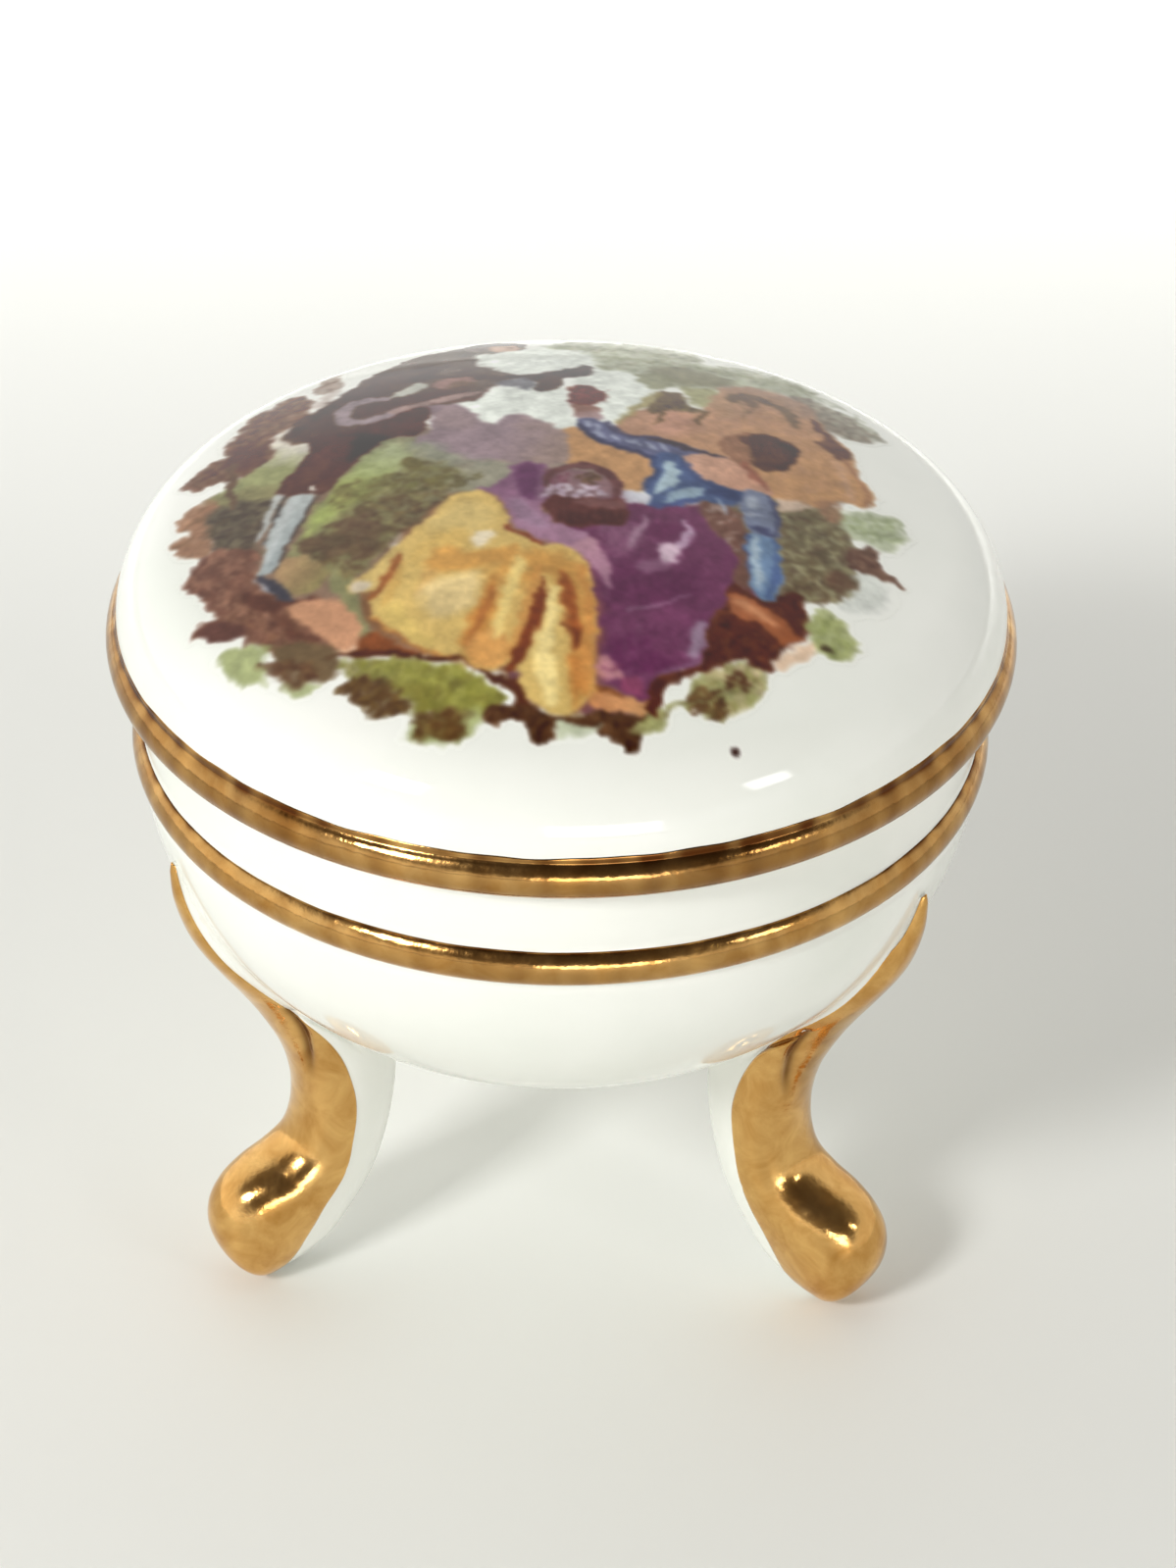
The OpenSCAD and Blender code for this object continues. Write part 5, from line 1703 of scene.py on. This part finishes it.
def paint_right_ground(c):
    """The dark ground under the lady's hand, with a ruddy stone, and a small bush beside it."""
    ground = [
        (8.7, -9), (9.5, -9.5), (10.4, -9.9), (11.2, -9.5), (12.3, -9.2), (12.6, -10.4), (12.8, -11.8),
        (12.4, -12.6), (11.6, -13.4), (10.9, -14.4), (10.7, -15.3), (9.8, -15), (9.2, -14.6), (8.4, -15),
        (7.4, -15.7), (6.4, -16.2), (5.6, -16.8), (5, -18), (4.7, -19.1), (4.3, -18), (4.4, -16.9),
        (5.8, -16), (7.1, -15.2), (7.4, -13.6), (7.6, -12.6), (8.2, -11.4), (8.6, -10.2),
    ]
    c.area((82, 36, 20), ground, 0.12, 0.15, mottle=0.15)
    c.dabs([(60, 24, 12), (106, 56, 34), (90, 44, 26)], ground, 120, 0.3, 114, 0.8, 1.0, 0.6)
    c.area((164, 98, 62), [
        (8.8, -10), (9.8, -10.1), (11, -11), (12, -12), (12.5, -12.6), (12.1, -12.9), (11.4, -13.3),
        (10.8, -12.6), (9.8, -11.8), (9, -11.8), (8.6, -11),
    ], 0.12, 0.12, fade=((9, -10.8), (12, -12.6), (140, 78, 44)))
    c.stroke((196, 138, 98), [(9.1, -10.5, 0.2), (9.9, -11, 0.3), (10.9, -11.8, 0.16)], 0.25, 0.1, 0.8)
    c.stroke((96, 44, 24), [(9, -11.9, 0.1), (10.2, -12.4, 0.14), (11, -13.2, 0.12)], 0.12, 0.08, 0.8)
    c.area((218, 182, 148), [
        (10.9, -14.8), (11.6, -13.7), (12.6, -12.8), (13.3, -12.8), (12.6, -13.8), (11.6, -14.8),
    ], 0.25, 0.2, 0.8)
    c.area((156, 162, 108), [
        (12.8, -10.4), (13.8, -10), (14.7, -10.8), (15.2, -12), (15, -13), (14.2, -13.6), (13.2, -13.2),
        (12.8, -12), (12.7, -11),
    ], 0.22, 0.35)
    c.dabs([(138, 146, 88), (172, 178, 130)], [
        (12.9, -10.6), (14.2, -10.4), (15, -12), (14.2, -13.4), (13, -12.8),
    ], 50, 0.26, 115, 1.2, 0.8, 0.6)
    c.stroke((62, 48, 28), [(13.55, -12.8, 0.16), (13.85, -12.85, 0.16)], 0.12, 0.1)


def paint_near_grass(c):
    """The grass along the near left edge: a pale fringe, and a mound with three tufts."""
    fringe = (152, 160, 106)
    c.area(fringe, [
        (-17.8, -12.8), (-16.6, -12.1), (-15.4, -12.6), (-15, -13.6), (-15.1, -15.3), (-16.2, -15),
        (-17.1, -14.4), (-17.2, -13.4),
    ], 0.28, 0.45, 0.9)
    c.area(fringe, [(-14.2, -15.7), (-13, -15.7), (-12, -16.1), (-13.2, -16.6)], 0.25, 0.3, 0.8)
    c.area((156, 164, 106), [
        (-7.8, -19.8), (-6.4, -20.9), (-5, -20.6), (-4, -19.4), (-3.7, -18.4), (-5, -18.4), (-7.4, -19),
    ], 0.28, 0.4, 0.9)
    c.area((176, 184, 150), [(0, -19.2), (2, -19.2), (2.2, -20), (1, -20.4), (-0.4, -20.2)], 0.3, 0.3, 0.8)
    c.area((106, 86, 60), [
        (-14.8, -13), (-12.6, -13.2), (-11.2, -14.2), (-11.2, -15.4), (-12.2, -16), (-13.6, -15.2),
        (-14.6, -14.4),
    ], 0.25, 0.35)
    mound = [
        (-11.6, -14.9), (-10, -14.8), (-8, -14.9), (-6, -15.6), (-4.6, -16.2), (-3.4, -17.2), (-2.9, -18.2),
        (-3.6, -18.7), (-4.6, -18.5), (-5.6, -19), (-7, -18.8), (-8, -17.6), (-9.4, -16.4), (-10.8, -16),
    ]
    c.area((140, 138, 62), mound, 0.2, 0.3, fade=((-7, -16.5), (-11, -15.4), (142, 136, 92)), mottle=0.1)
    c.dabs([(128, 126, 52), (154, 152, 78), (116, 108, 50)], mound, 160, 0.34, 121, 1.2, 0.7, 0.45)
    c.area((112, 104, 46), [
        (-9, -17), (-7.4, -16.6), (-6.4, -17.8), (-6.6, -19), (-8, -18.4),
    ], 0.4, 0.3, 0.6)
    tuft = [
        (-11.2, -16.2), (-10, -15.9), (-8.8, -16.6), (-8, -17.4), (-7.7, -18.4), (-8.6, -18.6),
        (-9.6, -18.4), (-10.3, -17.6),
    ]
    c.area((96, 74, 42), tuft, 0.35, 0.5, 0.85)
    c.dabs([(78, 50, 28), (112, 84, 42), (90, 62, 32)], tuft, 100, 0.3, 122, 0.9, 0.9, 0.6)
    tuft = [
        (-7.6, -19), (-6.4, -18.7), (-5, -18.8), (-4.8, -19.6), (-5.4, -20.5), (-6.4, -20.3), (-7.2, -20),
    ]
    c.area((108, 92, 52), tuft, 0.35, 0.45, 0.85)
    c.dabs([(82, 54, 30), (118, 98, 54), (96, 66, 34)], tuft, 80, 0.3, 123, 0.7, 1.1, 0.6)
    tuft = [
        (-15.5, -14), (-14.2, -14.1), (-12.8, -14.6), (-12.5, -15.4), (-13.4, -15.9), (-14.3, -15.4),
        (-15, -14.8),
    ]
    c.area((104, 80, 52), tuft, 0.35, 0.4, 0.85)
    c.dabs([(82, 52, 36), (110, 82, 54)], tuft, 54, 0.3, 124, -0.5, 0.8, 0.6)


def paint_near_ground(c):
    """The dark line under the yellow skirt, and the earth in front of it."""
    c.area((128, 70, 36), [
        (-9.9, -13), (-8.9, -13.6), (-7.8, -14.3), (-7, -14.8), (-8.2, -15), (-9.6, -14.6), (-10.6, -14.2),
    ], 0.15, 0.15)
    c.stroke((74, 36, 18), [
        (-12, -14.3, 0.08), (-10.6, -14.3, 0.16), (-9.2, -14.5, 0.24), (-7.6, -14.9, 0.2),
        (-6.2, -15.3, 0.18), (-5, -15.3, 0.16), (-4, -16.2, 0.2), (-3, -16.9, 0.26), (-2.2, -17.4, 0.3),
        (-1.9, -18.4, 0.24),
    ], 0.12, 0.1)
    c.stroke((84, 42, 22), [
        (-2.6, -16.2, 0.2), (-2.3, -17.2, 0.3), (-1.9, -18.4, 0.3), (-1.2, -19.1, 0.2),
    ], 0.15, 0.12)
    c.area((122, 84, 100), [(-2.7, -15.8), (-2.2, -15.8), (-2.1, -16.6), (-2.5, -16.8)], 0.12, 0.08, 0.7)
    base = [
        (-3.9, -19), (-3, -18.4), (-1.8, -18.5), (-0.8, -19.1), (0.8, -19.2), (2, -18.9), (3.2, -19),
        (4.6, -18.6), (4.7, -19.1), (3.9, -19.5), (3.9, -20.5), (3.7, -21.3), (3.2, -21.1), (2.6, -20.5),
        (1.7, -20.2), (2, -19.7), (0.6, -19.7), (-0.2, -19.5), (-0.5, -20.4), (-1.1, -20.8), (-1.6, -20.4),
        (-1.9, -19.5), (-3, -19.4), (-3.5, -19.6),
    ]
    c.area((76, 46, 28), base, 0.12, 0.25, mottle=0.15)
    c.dabs([(58, 32, 18), (98, 66, 42), (82, 52, 34)], base, 130, 0.24, 125, 1.3, 0.8, 0.7)
    c.area((192, 132, 86), [
        (1.6, -17.3), (2.6, -17.4), (3.4, -17.9), (4.4, -17.9), (4.5, -18.8), (3.2, -18.9), (1.8, -18.7),
        (1.3, -18.1),
    ], 0.12, 0.1, fade=((2, -18), (4.4, -18.4), (206, 154, 104)))
    c.stroke((104, 56, 28), [(1.6, -17.2, 0.2), (2.4, -17.5, 0.16), (3.2, -17.9, 0.08)], 0.12, 0.08, 0.9)


def paint_near_bush(c):
    """The bush in front of the purple skirt, and a lone speck on the glaze."""
    tuft = [
        (6.6, -16.6), (8, -15.5), (9.2, -14.7), (10.2, -15), (10.5, -16.2), (10.1, -17.4), (9.2, -17.9),
        (8.4, -18.8), (7.4, -18.9), (6.4, -18.3), (5.6, -18.5), (5, -19.7), (4, -20), (3.9, -19.4),
        (4.9, -18.6), (5.7, -18), (6.4, -17.4),
    ]
    c.area((152, 150, 98), tuft, 0.25, 0.35, fade=((7, -17), (10, -15.4), (196, 178, 140)), mottle=0.12)
    c.dabs([(136, 134, 76), (166, 168, 112), (120, 110, 66)], tuft, 120, 0.3, 126, 1.2, 0.8, 0.5)
    c.dabs([(96, 66, 38), (112, 84, 48), (84, 56, 32)], [
        (6.4, -17.6), (7.4, -16.9), (8.3, -17.6), (8.1, -18.6), (7, -18.7),
    ], 56, 0.26, 127, 0.8, 0.9, 0.8)
    c.dabs([(84, 52, 30)], [
        (8.2, -16.1), (9, -15.6), (9.7, -16.2), (9.2, -16.7), (8.4, -16.6),
    ], 18, 0.24, 128)
    c.stroke((52, 30, 26), [(8.8, -20.5, 0.14), (8.82, -20.42, 0.17), (8.82, -20.34, 0.14)], 0.08, 0.06)


LAYERS = (
    paint_undertone,
    paint_sky,
    paint_far_trees,
    paint_rock,
    paint_left_field,
    paint_left_tree,
    paint_hills,
    paint_lilac_hill,
    paint_red_bank,
    paint_near_grass,
    paint_near_ground,
    paint_near_bush,
    paint_right_bank,
    paint_right_ground,
    paint_coat,
    paint_bent_head,
    paint_breeches,
    paint_instrument,
    paint_stockings,
    paint_waist_shade,
    paint_lady_head,
    paint_raised_arm,
    paint_bodice,
    paint_right_arm,
    paint_purple_skirt,
    paint_sash,
    paint_yellow_skirt,
    paint_yellow_folds,
    paint_basket,
)


def ruffle(c):
    """Break the edges of all the patches up a little, as a fine brush and the firing do."""
    i, j = np.indices(c.x.shape)
    for size, amount, seed in ((0.5, 0.15, 11), (0.22, 0.06, 13)):
        di = amount / c.pitch * cloud(c.x, c.y, size, seed)
        dj = amount / c.pitch * cloud(c.x, c.y, size, seed + 1)
        rows = np.clip(np.rint(i + di), 0, i.max()).astype(int)
        columns = np.clip(np.rint(j + dj), 0, j.max()).astype(int)
        c.colour, c.cover = c.colour[rows, columns], c.cover[rows, columns]
    for array in (c.colour, c.cover):
        array[1:-1] = 0.25 * array[:-2] + 0.5 * array[1:-1] + 0.25 * array[2:]
        array[:, 1:-1] = 0.25 * array[:, :-2] + 0.5 * array[:, 1:-1] + 0.25 * array[:, 2:]


def painted_picture():
    """All the layers from back to front, with the grain of a fired transfer."""
    c = Canvas(PICTURE_LOW, PICTURE_HIGH, PICTURE_PITCH)
    for layer in LAYERS:
        layer(c)
    ruffle(c)
    grain = 0.035 * cloud(c.x, c.y, 0.2, 7) + 0.045 * cloud(c.x, c.y, 0.45, 8)
    grain += 0.05 * cloud(c.x, c.y, 1.0, 9)
    c.colour *= 1 + (grain * c.cover)[..., None]
    return c


def shrink(mask):
    """A mask without its outermost cells."""
    inner = mask.copy()
    inner[1:] &= mask[:-1]
    inner[:-1] &= mask[1:]
    inner[:, 1:] &= mask[:, :-1]
    inner[:, :-1] &= mask[:, 1:]
    return inner


def dome_normals(x, y):
    """The dome's own normals above points of its plan."""
    radius = np.maximum(np.hypot(x, y), 1e-6)
    reach = 0.01
    slope = (dome_height(radius + reach) - dome_height(radius - reach)) / (2 * reach)
    out = np.stack([-slope * x / radius, -slope * y / radius, np.ones_like(x)], -1)
    return out / np.linalg.norm(out, axis=-1, keepdims=True)


def store_paint(piece, colour, cover, y):
    """Store the colours in the mesh, less the light that the gloss adds, and where they cover the glaze."""
    far = np.clip((y - GLARE_START) / GLARE_RUN, 0, 1)
    linear = to_linear(colour.clip(0, 1))
    linear = np.maximum(linear - (GLARE + FAR_GLARE * far) * cover, DARKEST_SHARE * linear)
    painted = np.clip(4 * cover, 0, 1)
    attribute = piece.data.color_attributes.new("paint", "FLOAT_COLOR", "POINT")
    attribute.data.foreach_set("color", np.hstack([linear, painted]).astype(np.float32).ravel())


def make_picture():
    """The picture as a thin skin of enamel on the dome. Around its edge the skin is bare glaze."""
    c = painted_picture()
    kept = ~shrink(~(c.cover > 0.01))
    height = dome_height(np.hypot(c.x, c.y)) + ENAMEL_T
    points = np.stack([c.x, c.y, height], -1).reshape(-1, 3)
    faces = grid_faces(*c.x.shape)[:, ::-1]
    faces = faces[kept.ravel()[faces].all(axis=1)]
    used, faces = np.unique(faces, return_inverse=True)
    faces = faces.reshape(-1, 4)
    piece = make_piece(
        "lid_painted_scene", points[used], faces, PAINT, "lid", "lid_transfer_scene", weld=False
    )
    # The enamel is too thin to bend the gloss, so it shines like the dome below
    out = dome_normals(c.x, c.y).reshape(-1, 3)[used]
    piece.data.normals_split_custom_set_from_vertices(out.tolist())
    store_paint(piece, c.colour.reshape(-1, 3)[used], c.cover.reshape(-1, 1)[used], points[used, 1:2])


# ---------------------------------------------------------------- room, light and camera


FLOOR_HALF = 3.0
# The dark patch of ceiling that the gold reflects: its middle, and (nearness to it, colour) stops
CEILING = (0.0, -0.52, 0.85)
CEILING_STOPS = [
    (0.0, (1.0, 1.0, 0.985)),
    (1.0, (0.06, 0.05, 0.045)),
    (0.52, (0.80, 0.80, 0.79)),
    (0.70, (0.15, 0.13, 0.11)),
]
# The side from which the room is brightest, and its strength on the far side and on that one
BRIGHT_SIDE = (-0.85, -0.53, 0)
ROOM_STRENGTH = (0.93, 1.55)


def make_floor():
    """A sheet of pale paper, faintly clouded."""
    shader = Shader("pale_paper", Roughness=0.55, IOR=1.4)
    grain = shader.ramp(shader.noise(9, 3.0), 0, 1, 0.3, 0.7)
    shader.set("Base Color", shader.mix(grain, srgb(*PAPER), srgb(*PAPER_SHADE)))
    mesh = bpy.data.meshes.new("floor")
    half = FLOOR_HALF
    corners = [(-half, -half, 0), (half, -half, 0), (half, half, 0), (-half, half, 0)]
    mesh.from_pydata(corners, [], [(0, 1, 2, 3)])
    mesh.materials.append(shader.material)
    floor = bpy.data.objects.new("floor", mesh)
    bpy.context.scene.collection.objects.link(floor)


def toward(tree, coordinates, direction):
    """A socket with how much a direction of the room is turned towards another one."""
    node = tree.nodes.new("ShaderNodeVectorMath")
    node.operation = "DOT_PRODUCT"
    node.inputs[1].default_value = direction
    tree.links.new(coordinates, node.inputs[0])
    return node.outputs["Value"]


def make_world():
    """A white room: pale walls, and a dark patch of ceiling high above the camera's side."""
    world = bpy.data.worlds.new("room")
    world.use_nodes = True
    bpy.context.scene.world = world
    tree = world.node_tree
    background = tree.nodes["Background"]
    coordinates = tree.nodes.new("ShaderNodeTexCoord").outputs["Generated"]
    ramp = tree.nodes.new("ShaderNodeValToRGB")
    tree.links.new(toward(tree, coordinates, Vector(CEILING).normalized()), ramp.inputs["Fac"])
    elements = ramp.color_ramp.elements
    for element, (position, colour) in zip(elements, CEILING_STOPS[:2]):
        element.position, element.color = position, (*colour, 1)
    for position, colour in CEILING_STOPS[2:]:
        elements.new(position).color = (*colour, 1)
    tree.links.new(ramp.outputs["Color"], background.inputs["Color"])
    strength = tree.nodes.new("ShaderNodeMapRange")
    strength.inputs["From Min"].default_value = -1
    strength.inputs["From Max"].default_value = 1
    strength.inputs["To Min"].default_value = ROOM_STRENGTH[0]
    strength.inputs["To Max"].default_value = ROOM_STRENGTH[1]
    tree.links.new(toward(tree, coordinates, BRIGHT_SIDE), strength.inputs["Value"])
    tree.links.new(strength.outputs["Result"], background.inputs["Strength"])


# The soft boxes: name, place and target in metres, size, power in watts, and the cone of the light
MIDDLE = (0, 0, 0.02)
LIGHTS = (
    ("key", (-0.28, -0.30, 0.32), MIDDLE, (0.1, 0.1), 1.32, 180),
    ("side", (0.34, -0.26, 0.26), MIDDLE, (0.08, 0.08), 0.16, 180),
    ("far_table", (0.05, 0.27, 0.42), (0.05, 0.27, 0), (0.7, 0.14), 0.85, 52),
    ("far_floor", (0, 0.95, 0.90), (0, 0.95, 0), (1.6, 0.8), 5.0, 52),
    ("low_fill", (0.08, -0.46, 0.08), MIDDLE, (0.22, 0.1), 0.4, 180),
)


def make_light(name, place, target, size, power, spread):
    """A soft box. Its light is kept within a cone of that many degrees."""
    data = bpy.data.lights.new(name, "AREA")
    data.shape = "RECTANGLE"
    data.size, data.size_y = size
    data.energy = power
    data.spread = math.radians(spread)
    light = bpy.data.objects.new(name, data)
    light.location = place
    direction = Vector(target) - Vector(place)
    light.rotation_euler = direction.to_track_quat("-Z", "Y").to_euler()
    bpy.context.scene.collection.objects.link(light)


# Where the camera stands in metres, its turns to the right, downwards and counter-clockwise in
# radians, and its lens
CAMERA_PLACE = (0, -0.1823, 0.1567)
CAMERA_TURN = (0.0087, 0.6116, 0.0163)
CAMERA_LENS = 90.06


def make_camera():
    """A close camera, looking down at the box from the front."""
    yaw, pitch, roll = CAMERA_TURN
    ahead = Vector((math.sin(yaw) * math.cos(pitch), math.cos(yaw) * math.cos(pitch), -math.sin(pitch)))
    right = Vector((math.cos(yaw), -math.sin(yaw), 0))
    up = right.cross(ahead)
    rolled_right = math.cos(roll) * right + math.sin(roll) * up
    rolled_up = math.cos(roll) * up - math.sin(roll) * right
    data = bpy.data.cameras.new("camera")
    data.lens = CAMERA_LENS
    data.sensor_width = 36
    data.clip_start = 0.01
    camera = bpy.data.objects.new("camera", data)
    matrix = Matrix((rolled_right, rolled_up, -ahead)).transposed().to_4x4()
    matrix.translation = CAMERA_PLACE
    camera.matrix_world = matrix
    bpy.context.scene.collection.objects.link(camera)
    bpy.context.scene.camera = camera


make_camera()
make_floor()
make_world()
for light in LIGHTS:
    make_light(*light)
bpy.context.scene.view_settings.view_transform = "Standard"

make_bowl()
make_bowl_band()
for number, (leg_name, leg_angle) in enumerate(LEG_ANGLES.items()):
    make_leg(leg_name, leg_angle)
    make_leg_gilding(leg_name, leg_angle, number)
make_lid()
make_lid_rim()
make_picture()
